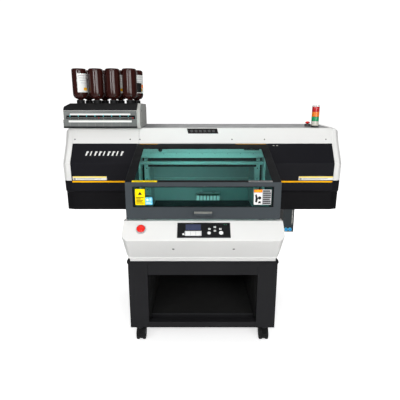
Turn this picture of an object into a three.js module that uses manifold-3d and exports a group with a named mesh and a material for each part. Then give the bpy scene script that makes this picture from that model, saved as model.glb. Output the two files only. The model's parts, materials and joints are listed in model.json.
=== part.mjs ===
// Flatbed UV printer on a wheeled stand. Millimetres, +Z up, front towards -Y, origin on the floor
// below the middle of the machine.
import * as THREE from 'three'
import { mergeVertices } from 'three/addons/utils/BufferGeometryUtils.js'
import Module from 'manifold-3d'

const wasm = await Module()
wasm.setup()

// ---------- driving dimensions ----------
const GAP = 0.3 // clearance between touching pieces
const SHEET = 6 // wall of the covers and shells

// Stand and casters
const STAND = { halfWidth: 412, front: -470, back: 430, bottom: 119, top: 530 }
const LEG_WIDTH = 107
const LEG_DEPTH = 40
const BAY = { bottom: 155, top: 445 } // height of the stand's open bay
const CASTER = { x: 363, front: -415, back: 370, trail: 22, wheelRadius: 42, wheelWidth: 52 }

// Base, bed and hoods
const BASE = { halfWidth: 400, front: -511.7, back: 640, bottom: 561, top: 790, wall: 12 }
const CONSOLE = { crease: [-645, 707], topEdge: [-556, 783], foot: [-524, 574], halfWidth: 406 }
const CONSOLE_CORNER = { creaseX: 380, footX: 391, rise: 28 } // facet across each front corner
const REAR_HOOD = { front: 330.4, back: 645, top: 1000 }
const TABLE = { halfWidth: 306, front: -500, back: -80, top: 776, thickness: 20 }
const BED_CENTRE_Y = (TABLE.front + TABLE.back) / 2
const RAIL = { x: 200, width: 30, height: 25 }

// Gantry: the outer skin runs up the front, over the top and down the rear
const GANTRY = { halfWidth: 832.5, capWidth: 47.5, bottom: 736, waist: 920, back: 330 }
const SKIN = [
  [-174, 920.3], [-179, 1026], [-106, 1136], [-66, 1225],
  [-36, 1226.5], [245, 1241], [330, 1150], [330, 920.3],
]
const COVER_SEAM_X = -384 // between the two white top covers
const TUNNEL_HALF_WIDTH = 388.3
const BEAM = { halfLength: 770, front: -40, back: 50, bottom: 1040, top: 1150 }
const NOZZLE_HEIGHT = 932

// Front hood
const HOOD = { halfWidth: 392, front: -550, bottom: 790, shoulder: 982, hinge: [-106, 1136] }

// On top of the gantry
const INK_UNIT = { left: -828, right: -390, front: -100, back: 190, capWidth: 18 }
const BOTTLE = { radius: 43, neckRadius: 15, base: 1572, shoulder: 1418, neck: 1393 }
const BOTTLE_ROWS = [{ firstX: -739, y: -30 }, { firstX: -717, y: 75 }]
const BOTTLE_PITCH = 100.3

// Console controls, placed on the sloped key face: x across, s up the slope from the crease
const PANEL = { x: 3, s: 61, width: 266, height: 87, thickness: 3 }
const ARROW_KEYS = { up: [58.5, 79], left: [31, 68], right: [86, 68], down: [58.5, 57] }
const FUNCTION_KEYS = { s: 42, xs: [-76, -50, -24], width: 24, height: 24 }

// ---------- shape helpers ----------
const toSolid = (geometry) => {
  const bare = geometry.clone()
  for (const name of Object.keys(bare.attributes)) if (name !== 'position') bare.deleteAttribute(name)
  const merged = mergeVertices(bare, 1e-4)
  return new wasm.Manifold(new wasm.Mesh({
    numProp: 3,
    vertProperties: new Float32Array(merged.attributes.position.array),
    triVerts: new Uint32Array(merged.index.array),
  }))
}

const toGeometry = (solid) => {
  const { numProp, vertProperties, triVerts } = solid.getMesh()
  const points = new Float32Array((vertProperties.length / numProp) * 3)
  for (let i = 0; i < points.length / 3; i++) {
    for (let k = 0; k < 3; k++) points[3 * i + k] = vertProperties[numProp * i + k]
  }
  const geometry = new THREE.BufferGeometry()
  geometry.setAttribute('position', new THREE.BufferAttribute(points, 3))
  geometry.setIndex(new THREE.BufferAttribute(new Uint32Array(triVerts), 1))
  geometry.computeVertexNormals()
  return geometry
}

const add = (first, ...rest) => toGeometry(rest.reduce((sum, g) => sum.add(toSolid(g)), toSolid(first)))
const cut = (first, ...rest) => toGeometry(rest.reduce((sum, g) => sum.subtract(toSolid(g)), toSolid(first)))

const box = (x0, x1, y0, y1, z0, z1) =>
  new THREE.BoxGeometry(x1 - x0, y1 - y0, z1 - z0).translate((x0 + x1) / 2, (y0 + y1) / 2, (z0 + z1) / 2)

// Cylinder from one end centre along +X, +Y or +Z
const rod = (axis, radius, length, at, sides = 24) => {
  const geometry = new THREE.CylinderGeometry(radius, radius, length, sides).translate(0, length / 2, 0)
  if (axis === 'x') geometry.rotateZ(-Math.PI / 2)
  if (axis === 'z') geometry.rotateX(Math.PI / 2)
  return geometry.translate(...at)
}

const extrude = (outline, depth) =>
  new THREE.ExtrudeGeometry(new THREE.Shape(outline.map(([a, b]) => new THREE.Vector2(a, b))),
    { depth, bevelEnabled: false })

// Outline of [y, z] points drawn out along X
const prismX = (outline, x0, x1) => {
  const turn = new THREE.Matrix4().makeBasis(
    new THREE.Vector3(0, 1, 0), new THREE.Vector3(0, 0, 1), new THREE.Vector3(1, 0, 0))
  return extrude(outline, x1 - x0).applyMatrix4(turn).translate(x0, 0, 0)
}

// Closed body through loops of equally many [x, y, z] points, with flat ends
const loft = (loops) => {
  const count = loops[0].length
  const flat = loops[0].map(([x, y, z]) =>
    Math.abs(loops[1][0][2] - loops[0][0][2]) > Math.abs(loops[1][0][0] - loops[0][0][0])
      ? new THREE.Vector2(x, y) : new THREE.Vector2(y, z))
  const endFaces = THREE.ShapeUtils.triangulateShape(flat, [])
  const index = []
  for (const [a, b, c] of endFaces) {
    const last = (loops.length - 1) * count
    index.push(a, b, c, last + c, last + b, last + a)
  }
  const clockwise = THREE.ShapeUtils.isClockWise(flat)
  for (let i = 0; i < loops.length - 1; i++) {
    for (let j = 0; j < count; j++) {
      const [a, b] = [i * count + j, i * count + ((j + 1) % count)]
      const quad = [a, a + count, b, b, a + count, b + count]
      index.push(...(clockwise ? quad.reverse() : quad))
    }
  }
  const geometry = new THREE.BufferGeometry()
  geometry.setAttribute('position', new THREE.Float32BufferAttribute(loops.flat(2), 3))
  geometry.setIndex(index)
  return outwards(geometry)
}

// Turns every face round if the body is inside out
const outwards = (geometry) => {
  const p = geometry.attributes.position
  const ids = geometry.index.array
  const [a, b, c] = [new THREE.Vector3(), new THREE.Vector3(), new THREE.Vector3()]
  let volume = 0
  for (let i = 0; i < ids.length; i += 3) {
    a.fromBufferAttribute(p, ids[i])
    b.fromBufferAttribute(p, ids[i + 1])
    c.fromBufferAttribute(p, ids[i + 2])
    volume += a.dot(b.cross(c))
  }
  if (volume < 0) geometry.setIndex(Array.from(ids).reverse())
  geometry.computeVertexNormals()
  return geometry
}

// Points of an open path moved sideways by a distance, mitred at the corners
const offsetPath = (path, distance) => path.map((point, i) => {
  const before = path[Math.max(i - 1, 0)]
  const after = path[Math.min(i + 1, path.length - 1)]
  const side = (from, to) => {
    const length = Math.hypot(to[0] - from[0], to[1] - from[1])
    return length ? [(to[1] - from[1]) / length, -(to[0] - from[0]) / length] : null
  }
  const [n, m] = [side(before, point) ?? side(point, after), side(point, after) ?? side(before, point)]
  const scale = distance / (1 + n[0] * m[0] + n[1] * m[1])
  return [point[0] + (n[0] + m[0]) * scale, point[1] + (n[1] + m[1]) * scale]
})

// Stretch of the gantry's skin between two of its corners, pulled in a little at each end
const SKIN_INNER = offsetPath(SKIN, SHEET)
const skinPanel = (first, last, x0, x1) => {
  const pull = (from, to) => {
    const length = Math.hypot(to[0] - from[0], to[1] - from[1])
    return [from[0] + ((to[0] - from[0]) * GAP) / length, from[1] + ((to[1] - from[1]) * GAP) / length]
  }
  const stretch = (path) => {
    const part = path.slice(first, last + 1)
    const ends = [pull(part[0], part[1]), pull(part[part.length - 1], part[part.length - 2])]
    return [ends[0], ...part.slice(1, -1), ends[1]]
  }
  return prismX([...stretch(SKIN), ...stretch(SKIN_INNER).reverse()], x0, x1)
}

// ---------- materials ----------
const paint = (color, roughness, metalness = 0, extra = {}) =>
  new THREE.MeshStandardMaterial({ color, roughness, metalness, ...extra })
const WHITE = paint(0xeeeeeb, 0.45)
const BLACK = paint(0x222226, 0.4)
const CHARCOAL = paint(0x2c2c2e, 0.55)
const SLATE = paint(0x4c5054, 0.5)
const STEEL = paint(0x9a9ea2, 0.35, 0.9)
const GREY = paint(0x787d78, 0.45)
const RUBBER = paint(0x1b1b1c, 0.8)
const AMBER_GLASS = paint(0x3c1412, 0.15)
const TINTED = paint(0x3f7f74, 0.08, 0, { transparent: true, opacity: 0.5 })
const RED = paint(0xf02814, 0.35)
const KEY = paint(0xf0f0f0, 0.4)

const printer = new THREE.Group()
const make = (name, geometry, material) => {
  const mesh = new THREE.Mesh(geometry, material)
  mesh.name = name
  printer.add(mesh)
  return mesh
}
const SIDES = [['left', -1], ['right', 1]]
// Box given by its inner and outer distance from the middle plane, on one side of the machine
const sideBox = (side, inner, outer, ...rest) =>
  box(Math.min(side * inner, side * outer), Math.max(side * inner, side * outer), ...rest)

// ---------- stand ----------
const LEG_INNER = STAND.halfWidth - LEG_WIDTH
const BETWEEN_LEGS = LEG_INNER - GAP
const PLATE = 16 // top plate of the stand
{
  const { halfWidth, front, back, bottom, top } = STAND
  const under = top - PLATE
  const overhang = 4
  make('stand_top', add(
    box(-halfWidth - overhang, halfWidth + overhang, front - overhang, back + overhang, under, top),
    box(-BETWEEN_LEGS, BETWEEN_LEGS, front, front + LEG_DEPTH, BAY.top, under + 1)), CHARCOAL)

  for (const [name, side] of SIDES) {
    const full = [bottom, under - GAP]
    make(`stand_${name}_side`, add(
      sideBox(side, LEG_INNER, halfWidth, front, front + LEG_DEPTH, ...full),
      sideBox(side, halfWidth - 8, halfWidth, front + 1, back - 1, ...full),
      sideBox(side, LEG_INNER, LEG_INNER + 8, front + 1, back - 1, ...full),
      sideBox(side, LEG_INNER, halfWidth, back - LEG_DEPTH, back, ...full)), CHARCOAL)
  }

  // The bottom pan carries the front rail, the raised shelf with its lip, and the back sheet
  const shelfFront = -375
  const sheetBack = back - 20
  make('stand_shelf', add(
    box(-BETWEEN_LEGS, BETWEEN_LEGS, front, sheetBack, bottom, bottom + SHEET),
    box(-BETWEEN_LEGS, BETWEEN_LEGS, front, front + LEG_DEPTH, bottom, BAY.bottom),
    box(-BETWEEN_LEGS, BETWEEN_LEGS, shelfFront, shelfFront + SHEET, bottom, bottom + 33),
    box(-BETWEEN_LEGS, BETWEEN_LEGS, shelfFront, sheetBack, bottom + 21, bottom + 27),
    box(-BETWEEN_LEGS, BETWEEN_LEGS, sheetBack - SHEET, sheetBack, bottom, under - GAP)), CHARCOAL)
}

// ---------- casters ----------
const twinWheel = () => {
  const { wheelRadius: r, wheelWidth } = CASTER
  const half = wheelWidth / 2
  const [web, hub] = [8, 8]
  const outline = [[0, -half], [r, -half], [r, -web], [hub, -web], [hub, web], [r, web], [r, half], [0, half]]
  const points = outline.map(([radius, x]) => new THREE.Vector2(radius, x))
  return new THREE.LatheGeometry(points, 24).rotateZ(-Math.PI / 2)
}

const casterFork = () => {
  const { trail, wheelRadius: r } = CASTER
  const top = STAND.bottom - GAP
  const web = prismX([[-14, 88], [trail - 13, r - 4], [trail, r - 14], [trail + 13, r - 4],
    [trail + 10, 80], [14, 98], [-14, 98]], -6, 6)
  return cut(add(
    box(-28, 28, -28, 28, top - 6, top),
    rod('z', 15, 20, [0, 0, 94]),
    web), rod('x', 8 + GAP, 20, [-10, trail, r]))
}

const CORNERS = [['front_left', -1, CASTER.front], ['front_right', 1, CASTER.front],
  ['rear_left', -1, CASTER.back], ['rear_right', 1, CASTER.back]]
for (const [corner, side, y] of CORNERS) {
  make(`caster_fork_${corner}`, casterFork(), CHARCOAL).position.set(side * CASTER.x, y, 0)
  make(`caster_wheels_${corner}`, twinWheel(), RUBBER)
    .position.set(side * CASTER.x, y + CASTER.trail, CASTER.wheelRadius)
}

// ---------- base and bed ----------
{
  const { halfWidth, front, back, bottom, top, wall } = BASE
  const trayTop = bottom - GAP
  const feet = [-340, 340].flatMap((x) => [-430, 380].map((y) => rod('z', 25, 16, [x, y, STAND.top + GAP])))
  make('base_tray', add(box(-390, 390, front, 620, 545, trayTop), ...feet), WHITE)

  // Open channel with a rear wall; the power inlet is a framed socket low on that wall
  const inner = halfWidth - wall
  const inlet = { x: -300, z: 640 }
  make('base_housing', cut(add(
    box(-halfWidth, halfWidth, front, back, bottom, bottom + wall),
    box(-halfWidth, -inner, front, back, bottom, top),
    box(inner, halfWidth, front, back, bottom, top),
    box(-halfWidth, halfWidth, back - wall, back, bottom, top),
    box(inlet.x - 30, inlet.x + 30, back - 1, back + 3, inlet.z - 20, inlet.z + 20)),
  box(inlet.x - 22, inlet.x + 22, back - 8, back + 4, inlet.z - 13, inlet.z + 13)), WHITE)

  // Rear hood: roof, back and cheeks, open towards the gantry and downwards
  const { front: y0, back: y1, top: z1 } = REAR_HOOD
  const z0 = top + GAP
  make('rear_hood', cut(
    prismX([[y0, z0], [y1, z0], [y1, z1 - 45], [y1 - 45, z1], [y0, z1]], -halfWidth, halfWidth),
    prismX([[y0 - 9, z0 - 9], [y1 - wall, z0 - 9], [y1 - wall, z1 - 50], [y1 - 50, z1 - wall],
      [y0 - 9, z1 - wall]], -TUNNEL_HALF_WIDTH, TUNNEL_HALF_WIDTH)), WHITE)

  // Bed frame: two rails on cross members, with the drive unit and its two knobs at the rear
  const floor = bottom + wall + GAP
  const railTop = bottom + wall + RAIL.height
  const railAt = (side) =>
    sideBox(side, RAIL.x - RAIL.width / 2, RAIL.x + RAIL.width / 2, -490, 590, floor, railTop)
  make('bed_frame', add(
    railAt(-1), railAt(1),
    box(-215, 215, -490, -460, floor, floor + 12),
    box(-215, 215, 470, 590, floor, floor + 16),
    box(-36, 144, 480, 560, floor + 15, 676),
    rod('z', 11, 16, [5, 520, 675]), rod('z', 11, 16, [98, 520, 675])), STEEL)
}

// Saddle on the rails, then a two-stage telescope that carries the table
const WELL = { halfX: 150, halfY: 110 } // opening of the saddle's collar
const nestedBox = (inset, z0, z1) => box(
  -WELL.halfX + inset, WELL.halfX - inset,
  BED_CENTRE_Y - WELL.halfY + inset, BED_CENTRE_Y + WELL.halfY - inset, z0, z1)
{
  const saddleBottom = BASE.bottom + BASE.wall + RAIL.height + GAP
  const plateBottom = TABLE.top - TABLE.thickness
  make('table_saddle', cut(add(
    box(-250, 250, BED_CENTRE_Y - 180, BED_CENTRE_Y + 180, saddleBottom, 625),
    nestedBox(-15, 620, 720)), nestedBox(0, 590, 730)), STEEL)
  make('lift_stage', cut(nestedBox(1, 604, 750), nestedBox(15, 612, 760)), STEEL)
  make('print_table', add(
    box(-TABLE.halfWidth, TABLE.halfWidth, TABLE.front, TABLE.back, plateBottom, TABLE.top),
    nestedBox(16, 614, plateBottom + 1)), BLACK)
}

// ---------- front console ----------
// Places a shape drawn as [x, s, n] on a slope: s runs up the slope from its foot, n stands out of it
const onSlope = (geometry, foot, head) => {
  const length = Math.hypot(head[0] - foot[0], head[1] - foot[1])
  const up = new THREE.Vector3(0, (head[0] - foot[0]) / length, (head[1] - foot[1]) / length)
  const across = new THREE.Vector3(1, 0, 0)
  const out = new THREE.Vector3().crossVectors(across, up)
  return geometry.applyMatrix4(new THREE.Matrix4().makeBasis(across, up, out)).translate(0, foot[0], foot[1])
}
const onConsole = (geometry) => onSlope(geometry, CONSOLE.crease, CONSOLE.topEdge)
const STOP_BUTTON = { x: -311.5, s: 66, radius: 21, stem: 11, collar: 26, collarTop: 3 }

// Large block with its foot on the plane through three points, on the side from which they run
// anticlockwise
const beyond = (p, q, r) => {
  const [a, b, c] = [p, q, r].map((point) => new THREE.Vector3(...point))
  const normal = b.sub(a).cross(c.sub(a)).normalize()
  const turn = new THREE.Quaternion().setFromUnitVectors(new THREE.Vector3(0, 0, 1), normal)
  return new THREE.BoxGeometry(600, 600, 200).translate(0, 0, 100).applyQuaternion(turn).translate(...p)
}
{
  const { crease, topEdge, foot, halfWidth } = CONSOLE
  const back = BASE.front - GAP
  const shell = prismX([foot, crease, topEdge, [back, topEdge[1]], [back, foot[1]]], -halfWidth, halfWidth)

  // The facet meets the key face a little way up the slope from the crease
  const { creaseX, footX, rise } = CONSOLE_CORNER
  const slopeLength = Math.hypot(topEdge[0] - crease[0], topEdge[1] - crease[1])
  const share = rise / slopeLength
  const sideCorner = crease.map((value, i) => value + share * (topEdge[i] - value))
  const corners = SIDES.map(([, side]) => {
    const [low, middle, high] = [[side * footX, ...foot], [side * creaseX, ...crease],
      [side * halfWidth, ...sideCorner]]
    return side > 0 ? beyond(middle, low, high) : beyond(middle, high, low)
  })

  const hollow = prismX([[foot[0] + 8, foot[1] + SHEET], [crease[0] + 14, crease[1] - 3],
    [topEdge[0] + 4, topEdge[1] - 7], [back + 9, topEdge[1] - 7], [back + 9, foot[1] + SHEET]], -345, 345)
  const { x, s, stem, collar, collarTop } = STOP_BUTTON
  const ring = onConsole(rod('z', collar, collarTop + 1, [x, s, -1]))
  const hole = onConsole(rod('z', stem + 1.5, 22, [x, s, -14]))
  make('front_console', cut(add(shell, ring), ...corners, hollow, hole), WHITE)
}

// A mushroom button: stem below, head above, its foot at the origin
const mushroom = (headRadius, stemRadius, stemLength, headHeight) => new THREE.LatheGeometry([
  [0, 0], [stemRadius, 0], [stemRadius, stemLength], [headRadius, stemLength],
  [headRadius, stemLength + headHeight * 0.6], [headRadius * 0.85, stemLength + headHeight],
  [0, stemLength + headHeight]].map(([r, z]) => new THREE.Vector2(r, z)), 24).rotateX(Math.PI / 2)
{
  const { x, s, radius, stem } = STOP_BUTTON
  make('console_stop_button', onConsole(mushroom(radius, stem, 15.5, 11).translate(x, s, -8)), RED)
}

// ---------- operation panel and its keys ----------
const KEY_FOOT = 1.6 // height of a resting key's underside above the console
const KEY_HEIGHT = 3.4
const ROUND_KEYS = [
  ['key_small_round', -99, 37, 5],
  ['key_round_left', 29, 44, 8.5],
  ['key_round_right', 89, 45, 10.5],
]
const SQUARE_KEYS = [
  ...Object.entries(ARROW_KEYS).map(([name, [x, s]]) => [`key_${name}`, x, s, 11, 9]),
  ...FUNCTION_KEYS.xs.map((x, i) =>
    [`key_function_${i + 1}`, x, FUNCTION_KEYS.s, FUNCTION_KEYS.width, FUNCTION_KEYS.height]),
]
{
  const block = (x, s, width, height, n0, n1) =>
    box(x - width / 2, x + width / 2, s - height / 2, s + height / 2, n0, n1)
  const face = GAP + PANEL.thickness
  const holes = [
    ...ROUND_KEYS.map(([, x, s, r]) => rod('z', r + 0.6, 8, [x, s, -1])),
    ...SQUARE_KEYS.map(([, x, s, w, h]) => block(x, s, w + 1, h + 1, -1, 7)),
  ]
  const plate = block(PANEL.x, PANEL.s, PANEL.width, PANEL.height, GAP, face)
  make('operation_panel', onConsole(cut(plate, ...holes)), BLACK)
  for (const [name, x, s, r] of ROUND_KEYS) {
    make(name, onConsole(rod('z', r, KEY_HEIGHT, [x, s, KEY_FOOT])), KEY)
  }
  for (const [name, x, s, w, h] of SQUARE_KEYS) {
    make(name, onConsole(block(x, s, w, h, KEY_FOOT, KEY_FOOT + KEY_HEIGHT)), KEY)
  }
}

// ---------- gantry covers ----------
const CAP_INNER = GANTRY.halfWidth - GANTRY.capWidth
const PANEL_END = CAP_INNER - GAP
const COVER_CORNER = [45, 16] // width and depth cut off each lower cover's front corner
const [FRONT_BOTTOM, TOP_FOOT, TOP_HEAD, REAR_BOTTOM] = [0, 2, 4, 7] // corners of the skin
for (const [name, side] of SIDES) {
  // End cap: the skin's side view, drawn in towards its outer face, hollow from the inside
  const drawnIn = offsetPath(SKIN, 18).map(([y, z], i) =>
    [y, i === 0 || i === SKIN.length - 1 ? SKIN[0][1] : z])
  const at = (x, points) => points.map(([y, z]) => [side * x, y, z])
  const pocket = offsetPath(SKIN, 28).map(([y, z]) => [y, Math.max(z, SKIN[0][1] + 10)])
  const [p0, p1] = [side * (CAP_INNER - 1), side * (GANTRY.halfWidth - 9)].sort((a, b) => a - b)
  make(`${name}_end_cap`, cut(
    loft([at(CAP_INNER, SKIN), at(GANTRY.halfWidth - 20, SKIN), at(GANTRY.halfWidth, drawnIn)]),
    prismX(pocket, p0, p1)), WHITE)

  const [x0, x1] = [side * (HOOD.halfWidth + 3.4), side * PANEL_END].sort((a, b) => a - b)
  make(`${name}_front_panel`, skinPanel(FRONT_BOTTOM, TOP_FOOT, x0, x1), BLACK)

  // Lower cover: an open tub that narrows downwards, with a step in its front and its corner cut off
  const inner = BASE.halfWidth + GAP
  const level = (z, outer, front, inset = 0) => [
    [inner + inset, front + inset], [outer - COVER_CORNER[0] - inset, front + inset],
    [outer - inset, front + COVER_CORNER[1] + inset], [outer - inset, GANTRY.back - inset],
    [inner + inset, GANTRY.back - inset]].map(([x, y]) => [side * x, y, z])
  const top = GANTRY.waist - GAP
  const levels = [[846, 830, -160], [858, 830, -172], [top, 831, -174]]
  const tub = loft([level(GANTRY.bottom, 831, -155), ...levels.map((each) => level(...each))])
  const hollow = loft([level(GANTRY.bottom + SHEET, 831, -155, SHEET),
    ...levels.map(([z, ...rest]) => level(z === top ? top + 5 : z, ...rest, SHEET))])
  make(`${name}_lower_cover`, cut(tub, hollow), BLACK)
}
make('left_top_cover', skinPanel(TOP_FOOT, TOP_HEAD, -PANEL_END, COVER_SEAM_X - GAP), WHITE)
make('centre_top_cover', skinPanel(TOP_FOOT, TOP_HEAD, COVER_SEAM_X + GAP, PANEL_END), WHITE)

// Top and rear shell, open where the bed runs through, with the collar of the upper stop button
const topHeight = (y) => {
  const [[y0, z0], [y1, z1]] = [SKIN[TOP_HEAD], SKIN[TOP_HEAD + 1]]
  return z0 + ((z1 - z0) * (y - y0)) / (y1 - y0)
}
const TOP_STOP = { x: 685, y: 90, radius: 15, stem: 8 }
{
  const { x, y, stem } = TOP_STOP
  const deck = topHeight(y)
  make('gantry_shell', cut(
    add(skinPanel(TOP_HEAD, REAR_BOTTOM, -PANEL_END, PANEL_END), rod('z', 19, 12, [x, y, deck - 1])),
    rod('z', stem + 1.5, 40, [x, y, deck - 20]),
    box(-TUNNEL_HALF_WIDTH, TUNNEL_HALF_WIDTH, 300, 340, 900, REAR_HOOD.top - BASE.wall)), CHARCOAL)
  make('top_stop_button', mushroom(TOP_STOP.radius, stem, 20, 12).translate(x, y, deck - 3), RED)
}

// ---------- gantry machinery ----------
{
  const { halfLength, front, back, bottom, top } = BEAM
  const upright = (side) =>
    sideBox(side, TUNNEL_HALF_WIDTH + 0.7, BASE.halfWidth, front - 4, 320, BASE.top + GAP, bottom + 1)
  make('gantry_frame', add(
    box(-halfLength, halfLength, front, back, bottom, top),
    box(-halfLength + 10, halfLength - 10, front - 6, front + 1, bottom + 20, bottom + 35),
    upright(-1), upright(1)), STEEL)

  const carriageBack = front - 7.5
  make('print_carriage', prismX([
    [-112, NOZZLE_HEIGHT], [carriageBack, NOZZLE_HEIGHT], [carriageBack, 1090], [-98, 1090],
    [-112, 1058]], 520, 750), BLACK)

  const pads = [545, 610, 675].map((x) => box(x, x + 50, -105, -55, 914, NOZZLE_HEIGHT - 4))
  make('capping_station', add(
    box(510, 765, -120, 40, GANTRY.bottom + SHEET + GAP, 915), ...pads), GREY)
}

// ---------- front hood ----------
const HOOD_WINDOW = { halfWidth: 355, bottom: 854, top: 960, slopeFrom: 18, slopeTo: 405, glass: 3 }
{
  const { halfWidth, front, bottom, shoulder } = HOOD
  const hingeEnd = [-112, 1134]
  const { halfWidth: w, bottom: z0, top: z1, slopeFrom, slopeTo, glass } = HOOD_WINDOW
  const onHood = (geometry) => onSlope(geometry, [front, shoulder], hingeEnd)
  const outside = [[front, bottom], [front, shoulder], hingeEnd, [-112, 1108], [-125, 1095], [-142, bottom]]
  const inside = [[front + SHEET, bottom - 9], [front + SHEET, shoulder - 4], [-125, 1123], [-90, 1100],
    [-90, bottom - 9]]
  const grip = prismX([[front + 1, 812], [front + 1, 830], [-574, 828], [-576, 818], [-572, 812]], -46, 46)
  make('hood_frame', add(cut(
    prismX(outside, -halfWidth, halfWidth),
    prismX(inside, -halfWidth + SHEET, halfWidth - SHEET),
    box(-w, w, front - 5, front + SHEET + 3, z0, z1),
    onHood(box(-w, w, slopeFrom, slopeTo, -12, 5))), grip), SLATE)
  make('hood_front_window', box(-w + GAP, w - GAP, front + 1.5, front + 1.5 + glass, z0 + GAP, z1 - GAP),
    TINTED)
  make('hood_top_window', onHood(
    box(-w + GAP, w - GAP, slopeFrom + GAP, slopeTo - GAP, -1.5 - glass, -1.5)), TINTED)
}

// ---------- ink unit and bottles ----------
const TRAY_TOP = 1372
{
  const { left, right, front, back, capWidth } = INK_UNIT
  const deckStart = SKIN[TOP_HEAD - 1][0]
  const foot = (y) => topHeight(Math.max(y, deckStart)) + 1.5
  const underside = [[front, foot(front)], [deckStart, foot(front)], [back, foot(back)]]
  make('ink_unit', add(
    prismX([...underside, [back, 1330], [front, 1330]], left, right + 1),
    prismX([...underside, [back, 1352], [back - 20, TRAY_TOP], [front + 55, TRAY_TOP], [front + 6, 1335]],
      right, right + capWidth)), GREY)

  const slope = [[front + 2, 1330 + GAP], [front + 2, 1337], [front + 40, TRAY_TOP], [back, TRAY_TOP],
    [back, 1330 + GAP]]
  const seats = []
  for (const { firstX, y } of BOTTLE_ROWS) {
    for (let i = 0; i < 4; i++) seats.push([firstX + i * BOTTLE_PITCH, y])
  }
  const collars = seats.map(([x, y]) => rod('z', 24, 17, [x, y, TRAY_TOP - 1], 16))
  const sockets = seats.map(([x, y]) => rod('z', BOTTLE.neckRadius + 1.5, 40, [x, y, TRAY_TOP - 4], 16))
  // The tray's outer end has its upper edge cut off
  const end = extrude([[left - 1, TRAY_TOP - 20], [left + 34, TRAY_TOP + 1], [left - 1, TRAY_TOP + 1]], 400)
    .rotateX(Math.PI / 2).translate(0, back + 10, 0)
  make('bottle_tray', cut(add(prismX(slope, left, right - GAP), ...collars), end, ...sockets), BLACK)

  const { radius, neckRadius, base, shoulder, neck } = BOTTLE
  const outline = [[0, TRAY_TOP - 3], [neckRadius, TRAY_TOP - 3], [neckRadius, neck + 2],
    [radius * 0.8, neck + 10], [radius, shoulder + 6], [radius, base - 8], [radius * 0.85, base], [0, base]]
  const bottle = new THREE.LatheGeometry(outline.map(([r, z]) => new THREE.Vector2(r, z)), 20)
    .rotateX(Math.PI / 2)
  seats.forEach(([x, y], i) => make(`ink_bottle_${i + 1}`, bottle, AMBER_GLASS).position.set(x, y, 0))
}

// ---------- signal tower and waste tank ----------
{
  const foot = 1234
  const outline = [[0, 0], [22.75, 0], [22.75, 124], [19, 130], [0, 130]]
  make('signal_tower', new THREE.LatheGeometry(outline.map(([r, z]) => new THREE.Vector2(r, z)), 24)
    .rotateX(Math.PI / 2).translate(714, 30, foot), RED)
}
{
  const [left, right, front, back, bottom] = [518, 588, -90, 60, 569]
  const top = GANTRY.bottom - GAP
  const outline = [[left + 12, bottom], [right, bottom], [right, top], [left, top], [left, bottom + 40]]
  const body = extrude(outline, back - front).rotateX(Math.PI / 2).translate(0, back, 0)
  const caps = [539, 564].map((x) => rod('y', 10, 9, [x, front - 8, 588], 16))
  make('waste_tank', add(body, ...caps), CHARCOAL)
}

export default printer
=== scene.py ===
"""Looks of the flatbed UV printer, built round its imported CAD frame. Metres, +Z up, front towards -Y."""
import json
import math

import bmesh
import bpy
from mathutils import Matrix, Vector


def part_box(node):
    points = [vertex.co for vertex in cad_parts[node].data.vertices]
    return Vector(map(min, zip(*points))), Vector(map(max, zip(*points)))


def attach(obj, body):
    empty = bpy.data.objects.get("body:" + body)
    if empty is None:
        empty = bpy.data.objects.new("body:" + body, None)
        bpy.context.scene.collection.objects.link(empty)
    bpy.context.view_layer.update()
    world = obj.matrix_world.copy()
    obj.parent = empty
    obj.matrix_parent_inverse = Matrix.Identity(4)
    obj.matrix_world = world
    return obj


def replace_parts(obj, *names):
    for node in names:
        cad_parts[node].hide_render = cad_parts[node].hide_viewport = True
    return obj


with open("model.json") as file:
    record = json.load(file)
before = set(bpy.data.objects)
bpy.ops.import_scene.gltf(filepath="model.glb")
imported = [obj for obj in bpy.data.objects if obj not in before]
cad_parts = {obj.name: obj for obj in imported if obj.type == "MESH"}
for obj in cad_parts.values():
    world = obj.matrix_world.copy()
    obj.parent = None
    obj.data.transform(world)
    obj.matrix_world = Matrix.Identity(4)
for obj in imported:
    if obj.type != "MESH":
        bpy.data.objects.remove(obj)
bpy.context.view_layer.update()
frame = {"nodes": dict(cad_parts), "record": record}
scene = bpy.context.scene

# ---------- camera ----------
LENS, SENSOR, PITCH = 33.3, 36.0, 13.6
camera_data = bpy.data.cameras.new("camera")
camera_data.lens = LENS
camera_data.sensor_width = SENSOR
camera_data.shift_x = 0.005
camera = bpy.data.objects.new("camera", camera_data)
camera.location = (-0.026, -2.362, 1.330)
camera.rotation_euler = (math.radians(90 - PITCH), 0, 0)
scene.collection.objects.link(camera)
scene.camera = camera


# ---------- studio ----------
def area_light(name, location, target, width, height, power):
    light = bpy.data.lights.new(name, "AREA")
    light.shape, light.size, light.size_y, light.energy = "RECTANGLE", width, height, power
    lamp = bpy.data.objects.new(name, light)
    lamp.location = location
    lamp.rotation_euler = (Vector(target) - Vector(location)).to_track_quat("-Z", "Y").to_euler()
    scene.collection.objects.link(lamp)


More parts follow.
